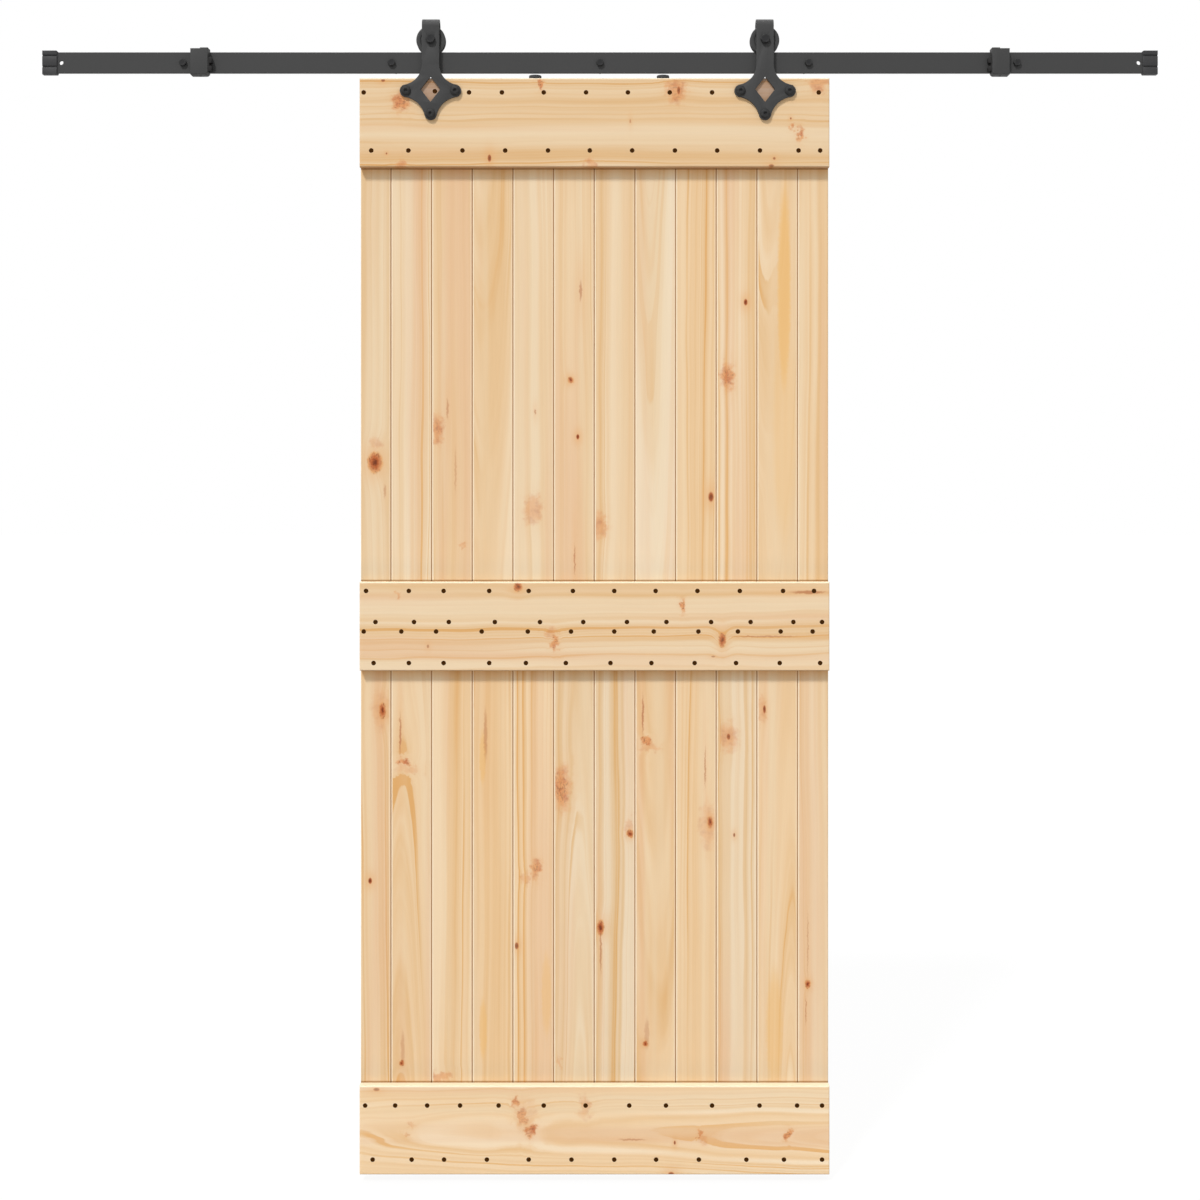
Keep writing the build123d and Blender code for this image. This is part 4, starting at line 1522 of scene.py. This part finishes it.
    def finish(self, body: Body, slot: Slot, material: bpy.types.Material, *nodes: str) -> bpy.types.Object:
        """Turn the work into an object that stands for CAD nodes.

        Args:
            body: Body that it rides on.
            slot: The record's slot; not used.
            material: Its material.
            *nodes: CAD nodes that it stands for.

        Returns:
            The object.
        """
        bmesh.ops.scale(self.mesh, vec=(MM, MM, MM), verts=self.mesh.verts)
        data = bpy.data.meshes.new(self.name)
        self.mesh.to_mesh(data)
        self.mesh.free()
        data.shade_smooth()
        data.set_sharp_from_angle(angle=SMOOTH_UP_TO)
        data.materials.append(material)
        piece = bpy.data.objects.new(self.name, data)
        bpy.context.scene.collection.objects.link(piece)
        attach(piece, body.value)
        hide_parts(*nodes)
        LOG.info("%s: %d faces, rides on %s", self.name, len(data.polygons), body.value)
        return piece


def span(node: str, axis: str) -> tuple[float, float]:
    """Lowest and highest place of a CAD node along an axis, in millimetres."""
    return tuple(getattr(corner, axis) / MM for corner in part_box(node))


def tube_profile(bore: float, outer: float, length: float, easing: float) -> tuple[tuple[float, float], ...]:
    """Half section of a tube with eased ends, about its middle.

    Args:
        bore: Inner radius.
        outer: Outer radius.
        length: Length of the tube.
        easing: Rounding of its ends.

    Returns:
        Radius and height of each corner.
    """
    half = length / 2
    foot = ((bore, -half + easing), (bore + easing, -half), (outer - easing, -half), (outer, -half + easing))
    return foot + tuple((radius, -height) for radius, height in reversed(foot))


def build_eased(
    name: str,
    node: str,
    easing: float,
    body: Body,
    slot: Slot,
    material: bpy.types.Material,
    sharper_than: float = 40.0,
) -> None:
    """Make a copy of a CAD node with eased edges that stands for it.

    Args:
        name: The piece's name.
        node: The CAD node.
        easing: Width of the rounding in millimetres.
        body: Body that it rides on.
        slot: The record's slot, handed on to finish.
        material: Its material.
        sharper_than: Angle between the faces, in degrees, from which an edge is rounded.
    """
    work = Workpiece(name)
    work.copy_node(node)
    work.ease(easing, sharper_than)
    work.finish(body, slot, material, node)


def dress(node: str, material: bpy.types.Material) -> None:
    """Give a CAD node its material."""
    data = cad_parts[node].data
    data.materials.clear()
    data.materials.append(material)
    LOG.info("%s: dressed with %s", node, material.name)


@dataclass(frozen=True)
class Finishes:
    """The finishes of the hardware, each made once."""

    coat: bpy.types.Material
    rail: bpy.types.Material
    wheel: bpy.types.Material
    fastener: bpy.types.Material
    batten_screw: bpy.types.Material
    bush: bpy.types.Material
    cap: bpy.types.Material
    rubber: bpy.types.Material

    @classmethod
    def made(cls) -> "Finishes":
        """Make every finish of the hardware."""
        grey, pale_grey = srgb(61, 61, 61), srgb(98, 97, 96)
        bronze, rubbed_bronze = srgb(62, 34, 4), srgb(78, 48, 12)
        rolled_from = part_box("rail")[1].z - 0.0009
        return cls(
            coat=CoatedSteelFinish("coated_steel", grey, pale_grey).material(),
            rail=RailFinish("coated_rail", grey, srgb(118, 117, 115), rolled_from).material(),
            wheel=CoatedSteelFinish("coated_wheel", srgb(60, 60, 60), pale_grey, 0.55).material(),
            fastener=FastenerFinish("dark_oxide", srgb(41, 41, 42), srgb(64, 64, 63), 0.62, 0.2).material(),
            batten_screw=FastenerFinish("bronzed_screw", bronze, rubbed_bronze, 0.7, 0.05).material(),
            bush=BareSteelFinish("turned_steel", srgb(176, 172, 166)).material(),
            cap=MouldedFinish("cap_plastic", srgb(54, 54, 55), 0.55, 1500.0, 0.00008).material(),
            rubber=MouldedFinish("bumper_rubber", srgb(34, 33, 33), 0.75, 800.0, 0.00012).material(),
        )


@dataclass
class DoorLeaf:
    """The pine leaf: planks in two tiers behind three battens, and the screws through the battens.

    Attributes:
        tongue: Length of each plank's tongue, hidden in its neighbour, in millimetres.
        planks: Planks in each tier.
        screw_head: Radius of a screw's head.
        screw_shank: Radius of its shank.
        screw_stand: How far the head stands out of the batten.
        screw_depth: Depth of the countersink.
        screw_length: Length of the screw.
        recess_reach: Reach of the driver recess's arms.
        recess_depth: Depth of the driver recess.
        window_drop: Drop of the hanger plates' windows below the leaf's top.
        flat_sawn: Boards with arched grain.
    """

    tongue: float = 6.0
    planks: int = 12
    screw_head: float = 4.5
    screw_shank: float = 1.9
    screw_stand: float = 0.3
    screw_depth: float = 3.0
    screw_length: float = 32.0
    recess_reach: float = 2.5
    recess_depth: float = 0.22
    window_drop: float = 22.6
    flat_sawn: frozenset[str] = frozenset((
        "upper_plank_04", "upper_plank_08", "upper_plank_11", "lower_plank_02",
        "lower_plank_06", "lower_plank_08", "lower_plank_11", "bottom_batten",
    ))

    def boards(self) -> list[Board]:
        """List the boards with their marks.

        Returns:
            The planks of both tiers, then the battens.
        """
        tiers = [f"{tier}_plank_{i:02d}" for tier in ("upper", "lower") for i in range(1, self.planks + 1)]
        planks = enumerate(tiers, PLANK_SEED)
        battens = enumerate(BATTENS, BATTEN_SEED)
        upright = [self._board(node, Grain.UPRIGHT, PLANK_KNOTS, seed) for seed, node in planks]
        return upright + [self._board(node, Grain.LEVEL, BATTEN_KNOTS, seed) for seed, node in battens]

    def _board(self, node: str, grain: Grain, marks: Sequence[Knot], seed: int) -> Board:
        """Measure one board and sort out its marks.

        Args:
            node: The board's CAD node.
            grain: Which way its fibres run.
            marks: Marks to choose from.
            seed: Seed of its growth.

        Returns:
            The board.
        """
        low, high = (Vector(corner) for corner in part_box(node))
        if grain is Grain.UPRIGHT and not node.endswith(str(self.planks)):
            high.x -= self.tongue * MM
        own = tuple(
            knot for knot in marks
            if low.x <= knot.x * MM < high.x and low.z <= knot.z * MM < high.z
        )
        arched = node in self.flat_sawn
        if grain is Grain.LEVEL:
            edges = (BATTEN_TOP_HIGHLIGHT, BATTEN_FOOT_SHADE)
            windows = self._windows(high.z) if node == BATTENS[0] else ()
            return Board(node, grain, low, high, own, seed, arched, edges, (), windows, BATTEN_TINTS[node])
        edges = (
            EASED_EDGE if node.endswith("01") else JOINT_LEFT,
            EASED_EDGE if node.endswith(str(self.planks)) else JOINT_RIGHT,
        )
        shades = (BELOW_BATTEN, ABOVE_BATTEN)
        lines = [(corner.z, shade) for batten in BATTENS for corner, shade in zip(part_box(batten), shades)]
        lowest, highest = low.z + CONTACT_INSET, high.z - CONTACT_INSET
        contacts = tuple((z, shade) for z, shade in lines if lowest < z < highest)
        return Board(node, grain, low, high, own, seed, arched, edges, contacts)

    def _windows(self, leaf_top: float) -> tuple[tuple[float, float], ...]:
        """Middles of the hanger plates' windows, along the rail and in height, in metres."""
        boxes = [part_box(f"hanger_strap_{side}") for side in SIDES]
        return tuple(((low.x + high.x) / 2, leaf_top - self.window_drop * MM) for low, high in boxes)

    def dress(self) -> None:
        """Give each board its own pine."""
        pine = PineFinish()
        for board in self.boards():
            dress(board.node, pine.material(board))

    def build_screws(self, finishes: Finishes) -> None:
        """Make the countersunk screws with their driver recesses, each turned its own way."""
        work = Workpiece("batten_screws_driven")
        head, stand = self.screw_head, self.screw_stand
        foot = stand - self.screw_depth
        stations = (
            Station(stand - self.screw_length, 0.3),
            Station(stand - self.screw_length + 5, self.screw_shank * 0.9),
            Station(foot, self.screw_shank),
            Station(-0.2, head),
            Station(0.05, head),
            Station(stand, head - 0.35),
            Station(stand, self.recess_reach, Section.CROSS),
            Station(stand - self.recess_depth, self.recess_reach * 0.7, Section.CROSS),
        )
        verts = work.stack(stations, segments=16, worn=(4,))
        front = span("top_batten", "y")[0]
        draw = random.Random(SCREW_SEED)
        places = [(centre.x, front, centre.z) for centre in solid_centres("batten_screws")]
        work.repeat(verts, places, turns=[draw.uniform(0, math.pi / 2) for _ in places])
        work.finish(Body.DOOR, Slot.BATTEN_SCREW_STEEL, finishes.batten_screw, "batten_screws")


@dataclass
class StrapHangers:
    """The two bent straps with their screws, axles, nuts and bushes.

    Attributes:
        strap_easing: Rounding of the straps' edges, in millimetres.
        screw_radius: Radius of a hanger screw's shank.
        screw_head: Radius of its domed head.
        screw_head_height: Height of the head.
        socket_flats: Width across the flats of its socket.
        socket_depth: Depth of the socket.
        screw_length: Length of the shank under the head.
        axle_radius: Radius of the axle bolt.
        axle_flats: Width across the flats of its head and nut.
        axle_head_height: Height of the head.
        nut_height: Height of the nut.
        axle_pitch: Pitch of the axle bolt's thread.
        bush_radius: Outer radius of the bush.
        bush_easing: Rounding of the bush's ends.
        bush_clearance: Clearance between the axle and the bush.
    """

    strap_easing: float = 0.45
    screw_radius: float = 4.0
    screw_head: float = 9.4
    screw_head_height: float = 4.2
    socket_flats: float = 6.0
    socket_depth: float = 2.4
    screw_length: float = 36.0
    axle_radius: float = 5.0
    axle_flats: float = 16.0
    axle_head_height: float = 6.4
    nut_height: float = 8.0
    axle_pitch: float = 1.5
    bush_radius: float = 8.0
    bush_easing: float = 0.4
    bush_clearance: float = 0.1

    def build(self, finishes: Finishes) -> None:
        """Make every piece of both hangers."""
        for side in SIDES:
            name, node = f"strap_{side}_eased", f"hanger_strap_{side}"
            build_eased(name, node, self.strap_easing, Body.DOOR, Slot.COATED_STEEL, finishes.coat)
        self._build_screws(finishes)
        self._build_axles(finishes)
        self._build_nuts(finishes)
        self._build_bushes(finishes)

    def _build_screws(self, finishes: Finishes) -> None:
        """Make the domed socket screws through the plates."""
        work = Workpiece("hanger_screws_domed")
        head, top, half = self.screw_head, self.screw_head_height, self.socket_flats / 2
        stations = (
            Station(-self.screw_length, 1.2),
            Station(-self.screw_length + 6, self.screw_radius * 0.95),
            Station(-0.2, self.screw_radius),
            Station(0.0, head - 0.5),
            Station(0.25, head - 0.1),
            Station(1.3, head),
            Station(2.3, head - 0.5),
            Station(3.3, head - 1.7),
            Station(3.95, head - 3.2),
            Station(top, head - 4.8),
            Station(top, half + 0.35, Section.HEXAGON),
            Station(top - 0.3, half, Section.HEXAGON),
            Station(top - self.socket_depth, half, Section.HEXAGON),
            Station(top - self.socket_depth - 0.4, 0.6),
        )
        verts = work.stack(stations, worn=(5, 6, 10))
        plate = span("hanger_strap_left", "y")[0]
        work.repeat(verts, [(c.x, plate, c.z) for c in solid_centres("hanger_screws")])
        work.finish(Body.DOOR, Slot.DARK_FASTENERS, finishes.fastener, "hanger_screws")

    def _build_axles(self, finishes: Finishes) -> None:
        """Make the axle bolts with crowned heads and threaded ends."""
        work = Workpiece("axle_bolts_crowned")
        half, top = self.axle_flats / 2, self.axle_head_height
        low, high = span("axle_bolts", "y")
        reach = high - low - top
        thread_end = reach - 13.0
        stations = (
            Station(-reach, self.axle_radius - 1.4),
            Station(-reach + 0.8, self.axle_radius - 0.7),
            Station(-thread_end - 0.4, self.axle_radius - 0.7),
            Station(-thread_end, self.axle_radius),
            Station(0.0, self.axle_radius),
            Station(0.0, half - 0.4),
            Station(0.35, half - 0.4),
            Station(0.36, half, Section.HEXAGON),
            Station(top - 0.45, half, Section.CROWNED),
            Station(top, half - 0.8),
            Station(top - 0.25, half - 2.6),
        )
        verts = work.stack(stations, worn=(8,))
        verts += work.thread(
            self.axle_radius - 0.7, self.axle_radius, -reach + 0.4, -thread_end - 0.4, self.axle_pitch
        )
        work.repeat(verts, [(c.x, low + top, c.z) for c in solid_centres("axle_bolts")])
        work.finish(Body.DOOR, Slot.DARK_FASTENERS, finishes.fastener, "axle_bolts")

    def _build_nuts(self, finishes: Finishes) -> None:
        """Make the nuts, crowned at both ends, with a collar that locks them."""
        work = Workpiece("axle_nuts_crowned")
        half, bore = self.axle_flats / 2, self.axle_radius + 0.05
        height = self.nut_height
        stations = (
            Station(0.0, bore),
            Station(0.0, half - 0.7),
            Station(-0.4, half - 0.1, Section.HEXAGON),
            Station(-height + 2.6, half, Section.HEXAGON),
            Station(-height + 1.9, half - 0.7),
            Station(-height + 0.5, half - 1.0),
            Station(-height, half - 1.5),
            Station(-height, bore + 0.5),
            Station(-height + 0.5, bore),
        )
        verts = work.stack(stations, closed=True, worn=(1, 3))
        seat = span("axle_nuts", "y")[0]
        work.repeat(verts, [(c.x, seat, c.z) for c in solid_centres("axle_nuts")])
        work.finish(Body.DOOR, Slot.DARK_FASTENERS, finishes.fastener, "axle_nuts")

    def _build_bushes(self, finishes: Finishes) -> None:
        """Make the turned bushes between the arms of the straps."""
        work = Workpiece("wheel_bushes_turned")
        low, high = span("wheel_bushes", "y")
        bore = self.axle_radius + self.bush_clearance
        profile = tube_profile(bore, self.bush_radius, high - low, self.bush_easing)
        verts = work.turn(profile, TUBE_FACETS)
        work.repeat(verts, list(solid_centres("wheel_bushes")))
        work.finish(Body.DOOR, Slot.BUSH_STEEL, finishes.bush, "wheel_bushes")


@dataclass
class GroovedWheels:
    """The two wheels that run on the rail's top edge.

    Attributes:
        flange: Radius of the flanges, in millimetres.
        tread: Radius at the foot of the groove.
        width: Width of the wheel.
        groove_half: Half width of the groove at its foot.
        bore: Radius of the bore.
        hub: Radius of the raised hub.
        web_depth: How far the web lies under the hub's face.
        rim: Inner radius of the raised rim.
        facets: Facets round the wheel.
    """

    flange: float = 28.0
    tread: float = 22.0
    width: float = 16.0
    groove_half: float = 3.8
    bore: float = 8.05
    hub: float = 12.5
    web_depth: float = 1.1
    rim: float = 20.0
    facets: int = 72

    def profile(self) -> list[tuple[float, float]]:
        """Half section of the wheel.

        Returns:
            Radius and height of each corner, from the bore round to the bore.
        """
        half, tip, web = self.width / 2, self.flange, self.width / 2 - self.web_depth
        one_side = [
            (self.bore, half - 0.3),
            (self.bore + 0.3, half),
            (self.hub - 0.4, half),
            (self.hub + 0.3, half - 0.35),
            (self.hub + 0.9, web),
            (self.rim - 0.9, web),
            (self.rim - 0.3, half - 0.35),
            (self.rim + 0.4, half),
            (tip - 1.3, half),
            (tip - 0.4, half - 0.4),
            (tip, half - 1.3),
            (tip - 0.1, half - 2.2),
            (tip - 0.6, half - 2.8),
            (self.tread + 0.5, self.groove_half + 0.15),
            (self.tread, self.groove_half - 0.4),
        ]
        return one_side + [(radius, -height) for radius, height in reversed(one_side)]

    def build(self, finishes: Finishes) -> None:
        """Make both wheels."""
        for side, body in (("left", Body.LEFT_WHEEL), ("right", Body.RIGHT_WHEEL)):
            work = Workpiece(f"wheel_{side}_turned")
            low, high = (Vector(corner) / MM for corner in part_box(f"wheel_{side}"))
            verts = work.turn(self.profile(), self.facets, worn=(9, 10, 18, 19))
            work.place(verts, (low + high) / 2)
            work.finish(body, Slot.WHEEL_STEEL, finishes.wheel, f"wheel_{side}")


@dataclass
class RailAndFixings:
    """The flat rail with its wall bolts, spacers and end caps.

    Attributes:
        bolt_radius: Radius of a wall bolt, in millimetres.
        bolt_flats: Width across the flats of its head.
        bolt_head_height: Height of the head.
        thread_root: Radius at the foot of the bolt's thread.
        thread_pitch: Pitch of the thread.
        plain_shank: Length of shank behind the wall plane without a thread.
        tip_length: Length of the pointed tip.
        spacer_radius: Outer radius of a spacer.
        spacer_bore: Inner radius of a spacer.
        spacer_easing: Rounding of the spacer's ends.
        cap_easing: Rounding of the end caps' edges.
    """

    bolt_radius: float = 4.0
    bolt_flats: float = 13.0
    bolt_head_height: float = 5.3
    thread_root: float = 2.9
    thread_pitch: float = 3.2
    plain_shank: float = 4.0
    tip_length: float = 7.0
    spacer_radius: float = 11.0
    spacer_bore: float = 4.3
    spacer_easing: float = 0.6
    cap_easing: float = 0.5

    def build(self, finishes: Finishes) -> None:
        """Make the fixings and dress the rail."""
        dress("rail", finishes.rail)
        self._build_bolts(finishes)
        self._build_spacers(finishes)
        for side in SIDES:
            name, node = f"end_cap_{side}_eased", f"end_cap_{side}"
            build_eased(name, node, self.cap_easing, Body.TRACK, Slot.CAP_PLASTIC, finishes.cap, 30.0)

    def _build_bolts(self, finishes: Finishes) -> None:
        """Make the wall bolts: crowned heads with a washer face, and coach threads behind the wall plane."""
        work = Workpiece("wall_bolts_threaded")
        half, top = self.bolt_flats / 2, self.bolt_head_height
        low, high = span("wall_bolts", "y")
        seat = low + top
        reach = high - seat
        threaded = -seat + self.plain_shank
        stations = (
            Station(-reach, 0.25),
            Station(-reach + self.tip_length, self.thread_root),
            Station(-threaded - 1.0, self.thread_root),
            Station(-threaded, self.bolt_radius),
            Station(0.0, self.bolt_radius),
            Station(0.0, half - 0.35),
            Station(0.35, half - 0.35),
            Station(0.36, half, Section.HEXAGON),
            Station(top - 0.35, half, Section.CROWNED),
            Station(top, half - 0.7),
            Station(top - 0.2, half - 2.2),
        )
        verts = work.stack(stations, worn=(8,))
        verts += work.thread(
            self.thread_root, self.bolt_radius, -reach + self.tip_length * 0.75, -threaded, self.thread_pitch
        )
        work.repeat(verts, [(c.x, seat, c.z) for c in solid_centres("wall_bolts")])
        work.finish(Body.TRACK, Slot.DARK_FASTENERS, finishes.fastener, "wall_bolts")

    def _build_spacers(self, finishes: Finishes) -> None:
        """Make the round tubes that hold the rail off the wall."""
        work = Workpiece("wall_spacers_turned")
        low, high = span("wall_spacers", "y")
        profile = tube_profile(self.spacer_bore, self.spacer_radius, high - low, self.spacer_easing)
        verts = work.turn(profile, TUBE_FACETS, worn=(2, 4))
        work.repeat(verts, list(solid_centres("wall_spacers")))
        work.finish(Body.TRACK, Slot.COATED_STEEL, finishes.coat, "wall_spacers")


@dataclass
class RailStops:
    """The clamped stops with their bumpers and grub screws.

    Attributes:
        block_easing: Rounding of the blocks' edges, in millimetres.
        bumper_easing: Rounding of the bumpers' edges.
        grub_radius: Radius of a grub screw.
        socket_flats: Width across the flats of its socket.
        socket_depth: Depth of the socket.
    """

    block_easing: float = 0.45
    bumper_easing: float = 0.5
    grub_radius: float = 3.0
    socket_flats: float = 3.0
    socket_depth: float = 2.5

    def build(self, finishes: Finishes) -> None:
        """Make both stops."""
        for side in SIDES:
            name, node = f"stop_block_{side}_eased", f"stop_block_{side}"
            build_eased(name, node, self.block_easing, Body.TRACK, Slot.COATED_STEEL, finishes.coat)
            name, node = f"stop_bumper_{side}_moulded", f"stop_bumper_{side}"
            build_eased(name, node, self.bumper_easing, Body.TRACK, Slot.BUMPER_RUBBER, finishes.rubber, 25.0)
        self._build_grub_screws(finishes)

    def _build_grub_screws(self, finishes: Finishes) -> None:
        """Make the grub screws that clamp the stops from below."""
        work = Workpiece("grub_screws_socketed")
        low, high = span("stop_grub_screws", "z")
        length, radius, half = high - low, self.grub_radius, self.socket_flats / 2
        stations = (
            Station(-length, radius - 1.0),
            Station(-length + 0.7, radius),
            Station(-0.4, radius),
            Station(0.0, radius - 0.4),
            Station(0.0, half, Section.HEXAGON),
            Station(-self.socket_depth, half, Section.HEXAGON),
        )
        verts = work.stack(stations, worn=(2,))
        work.repeat(verts, [(c.x, c.y, low) for c in solid_centres("stop_grub_screws")], TO_FLOOR)
        work.finish(Body.TRACK, Slot.DARK_FASTENERS, finishes.fastener, "stop_grub_screws")


@dataclass
class AntiJumpDiscs:
    """The two discs on the leaf's top edge that keep the wheels on the rail.

    Attributes:
        radius: Radius of a disc, in millimetres.
        easing: Rounding of its rim.
        sink: Radius of the countersink for its screw.
        shank: Radius of the screw's shank.
        recess_reach: Reach of the driver recess's arms.
        recess_depth: Depth of the driver recess.
    """

    radius: float = 12.0
    easing: float = 0.4
    sink: float = 4.6
    shank: float = 1.9
    recess_reach: float = 2.2
    recess_depth: float = 1.5

    def build(self, finishes: Finishes) -> None:
        """Make the discs and their screws."""
        low, high = span("anti_jump_discs", "z")
        height, rim, ease = high - low, self.radius, self.easing
        discs = Workpiece("anti_jump_discs_turned")
        profile = (
            (self.shank + 0.1, 0.0),
            (rim - ease, 0.0),
            (rim - ease * 0.3, ease * 0.3),
            (rim, ease),
            (rim, height - ease),
            (rim - ease * 0.3, height - ease * 0.3),
            (rim - ease, height),
            (self.sink, height),
            (self.sink, height - 0.3),
            (self.shank + 0.1, height - 3.0),
        )
        verts = discs.turn(profile, steps=48, worn=(4, 5))
        places = [(c.x, c.y, low) for c in solid_centres("anti_jump_discs")]
        discs.repeat(verts, places, TO_TOP)
        discs.finish(Body.DOOR, Slot.COATED_STEEL, finishes.coat, "anti_jump_discs")
        foot, top = span("disc_screws", "z")
        screws = Workpiece("disc_screws_driven")
        stations = (
            Station(foot - top, 0.3),
            Station(foot - top + 4, self.shank * 0.9),
            Station(-3.05, self.shank),
            Station(-0.35, self.sink - 0.05),
            Station(-0.05, self.sink - 0.15),
            Station(0.0, self.sink - 0.5),
            Station(0.0, self.recess_reach, Section.CROSS),
            Station(-self.recess_depth, self.recess_reach * 0.7, Section.CROSS),
        )
        verts = screws.stack(stations, segments=16, worn=(4,))
        screws.repeat(verts, [(x, y, top) for x, y, _ in places], TO_TOP, turns=(0.4, 1.1))
        screws.finish(Body.DOOR, Slot.DARK_FASTENERS, finishes.fastener, "disc_screws")


@dataclass
class Studio:
    """The pale floor, the soft light and the camera.

    Attributes:
        floor_gap: Height of the leaf above the floor, in metres.
        floor_reach: Half width of the floor.
        floor_colour: Colour with which the floor lights the leaf.
        shadow_share: Share of lamp light in the floor that the camera sees.
        sky: Strength of the even light.
        key_towards: Direction towards the key lamp.
        key_strength: Strength of the key lamp.
        key_spread: Apparent size of the key lamp, in degrees.
        top_towards: Direction towards the top lamp.
        top_strength: Strength of the top lamp.
        top_spread: Apparent size of the top lamp, in degrees.
        camera_at: Place of the camera.
        lens: Focal length in millimetres.
        shift: Upward shift of the picture.
    """

    floor_gap: float = 0.015
    floor_reach: float = 40.0
    floor_colour: Colour = (0.46, 0.46, 0.46)
    shadow_share: float = 0.08
    sky: float = 0.555
    key_towards: tuple[float, float, float] = (-0.3125, -0.5625, 0.766)
    key_strength: float = 2.18
    key_spread: float = 8.0
    top_towards: tuple[float, float, float] = (0.0, 0.35, 1.0)
    top_strength: float = 0.9
    top_spread: float = 25.0
    camera_at: tuple[float, float, float] = (0.0, -3.188, -0.81)
    lens: float = 49.25
    shift: float = -0.096

    def build(self) -> None:
        """Make the floor, the light and the camera."""
        scene = bpy.context.scene
        scene.view_settings.view_transform = "Standard"
        self._build_floor()
        self._build_sky(scene)
        self._build_lamp("key_lamp", self.key_towards, self.key_strength, self.key_spread)
        self._build_lamp("top_lamp", self.top_towards, self.top_strength, self.top_spread)
        self._build_camera(scene)

    def _build_floor(self) -> None:
        """Lay the floor under the leaf."""
        mesh = bmesh.new()
        bmesh.ops.create_grid(mesh, x_segments=2, y_segments=2, size=self.floor_reach)
        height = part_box("lower_plank_01")[0].z - self.floor_gap
        bmesh.ops.translate(mesh, vec=(0, 0, height), verts=mesh.verts)
        data = bpy.data.meshes.new("studio_floor")
        mesh.to_mesh(data)
        mesh.free()
        data.materials.append(self._floor_material())
        floor = bpy.data.objects.new("studio_floor", data)
        bpy.context.scene.collection.objects.link(floor)

    def _seen_directly(self, tree: bpy.types.NodeTree) -> NodeSocket:
        """Value that is 1 for what the camera, a reflection or glass sees."""
        path = tree.nodes.new("ShaderNodeLightPath")
        seen = path.outputs["Is Camera Ray"]
        for name in ("Is Glossy Ray", "Is Transmission Ray"):
            most = tree.nodes.new("ShaderNodeMath")
            most.operation = "MAXIMUM"
            tree.links.new(seen, most.inputs[0])
            tree.links.new(path.outputs[name], most.inputs[1])
            seen = most.outputs[0]
        return seen

    def _floor_material(self) -> bpy.types.Material:
        """Matt pale floor that looks white and keeps a faint shadow."""
        material = bpy.data.materials.new("pale_floor")
        material.use_nodes = True
        tree = material.node_tree
        tree.nodes.clear()
        seen = self._seen_directly(tree)
        colour = tree.nodes.new("ShaderNodeMix")
        colour.data_type = "RGBA"
        colour.inputs[6].default_value = (*self.floor_colour, 1.0)
        colour.inputs[7].default_value = (1, 1, 1, 1)
        tree.links.new(seen, colour.inputs[0])
        matt = tree.nodes.new("ShaderNodeBsdfDiffuse")
        tree.links.new(colour.outputs[2], matt.inputs["Color"])
        white = tree.nodes.new("ShaderNodeEmission")
        share = tree.nodes.new("ShaderNodeMath")
        share.operation = "MULTIPLY"
        share.inputs[1].default_value = 1.0 - self.shadow_share
        tree.links.new(seen, share.inputs[0])
        blend = tree.nodes.new("ShaderNodeMixShader")
        tree.links.new(share.outputs[0], blend.inputs[0])
        tree.links.new(matt.outputs[0], blend.inputs[1])
        tree.links.new(white.outputs[0], blend.inputs[2])
        output = tree.nodes.new("ShaderNodeOutputMaterial")
        tree.links.new(blend.outputs[0], output.inputs["Surface"])
        return material

    def _build_sky(self, scene: bpy.types.Scene) -> None:
        """Light the scene evenly and show white behind it."""
        world = bpy.data.worlds.new("studio_sky")
        world.use_nodes = True
        tree = world.node_tree
        background = next(node for node in tree.nodes if node.type == "BACKGROUND")
        background.inputs["Color"].default_value = (1, 1, 1, 1)
        strength = tree.nodes.new("ShaderNodeMapRange")
        tree.links.new(self._seen_directly(tree), strength.inputs["Value"])
        strength.inputs["To Min"].default_value = self.sky
        tree.links.new(strength.outputs[0], background.inputs["Strength"])
        scene.world = world

    def _build_lamp(self, name: str, towards: Sequence[float], strength: float, spread: float) -> None:
        """Hang one far lamp.

        Args:
            name: The lamp's name.
            towards: Direction towards it.
            strength: Its strength.
            spread: Its apparent size in degrees.
        """
        data = bpy.data.lights.new(name, "SUN")
        data.energy = strength
        data.angle = math.radians(spread)
        lamp = bpy.data.objects.new(name, data)
        lamp.rotation_euler = Vector(towards).to_track_quat("Z", "Y").to_euler()
        bpy.context.scene.collection.objects.link(lamp)

    def _build_camera(self, scene: bpy.types.Scene) -> None:
        """Set up the camera level with the leaf, looking straight at it."""
        data = bpy.data.cameras.new("front_camera")
        data.lens = self.lens
        data.shift_y = self.shift
        camera = bpy.data.objects.new("front_camera", data)
        camera.location = self.camera_at
        camera.rotation_euler = (math.pi / 2, 0, 0)
        scene.collection.objects.link(camera)
        scene.camera = camera


def main() -> None:
    """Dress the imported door, add its detailed hardware and set up the studio."""
    logging.basicConfig(level=logging.INFO, format="%(name)s %(message)s")
    finishes = Finishes.made()
    leaf = DoorLeaf()
    leaf.dress()
    leaf.build_screws(finishes)
    for assembly in (StrapHangers(), GroovedWheels(), RailAndFixings(), RailStops(), AntiJumpDiscs()):
        assembly.build(finishes)
    Studio().build()


if __name__ == "__main__":
    main()
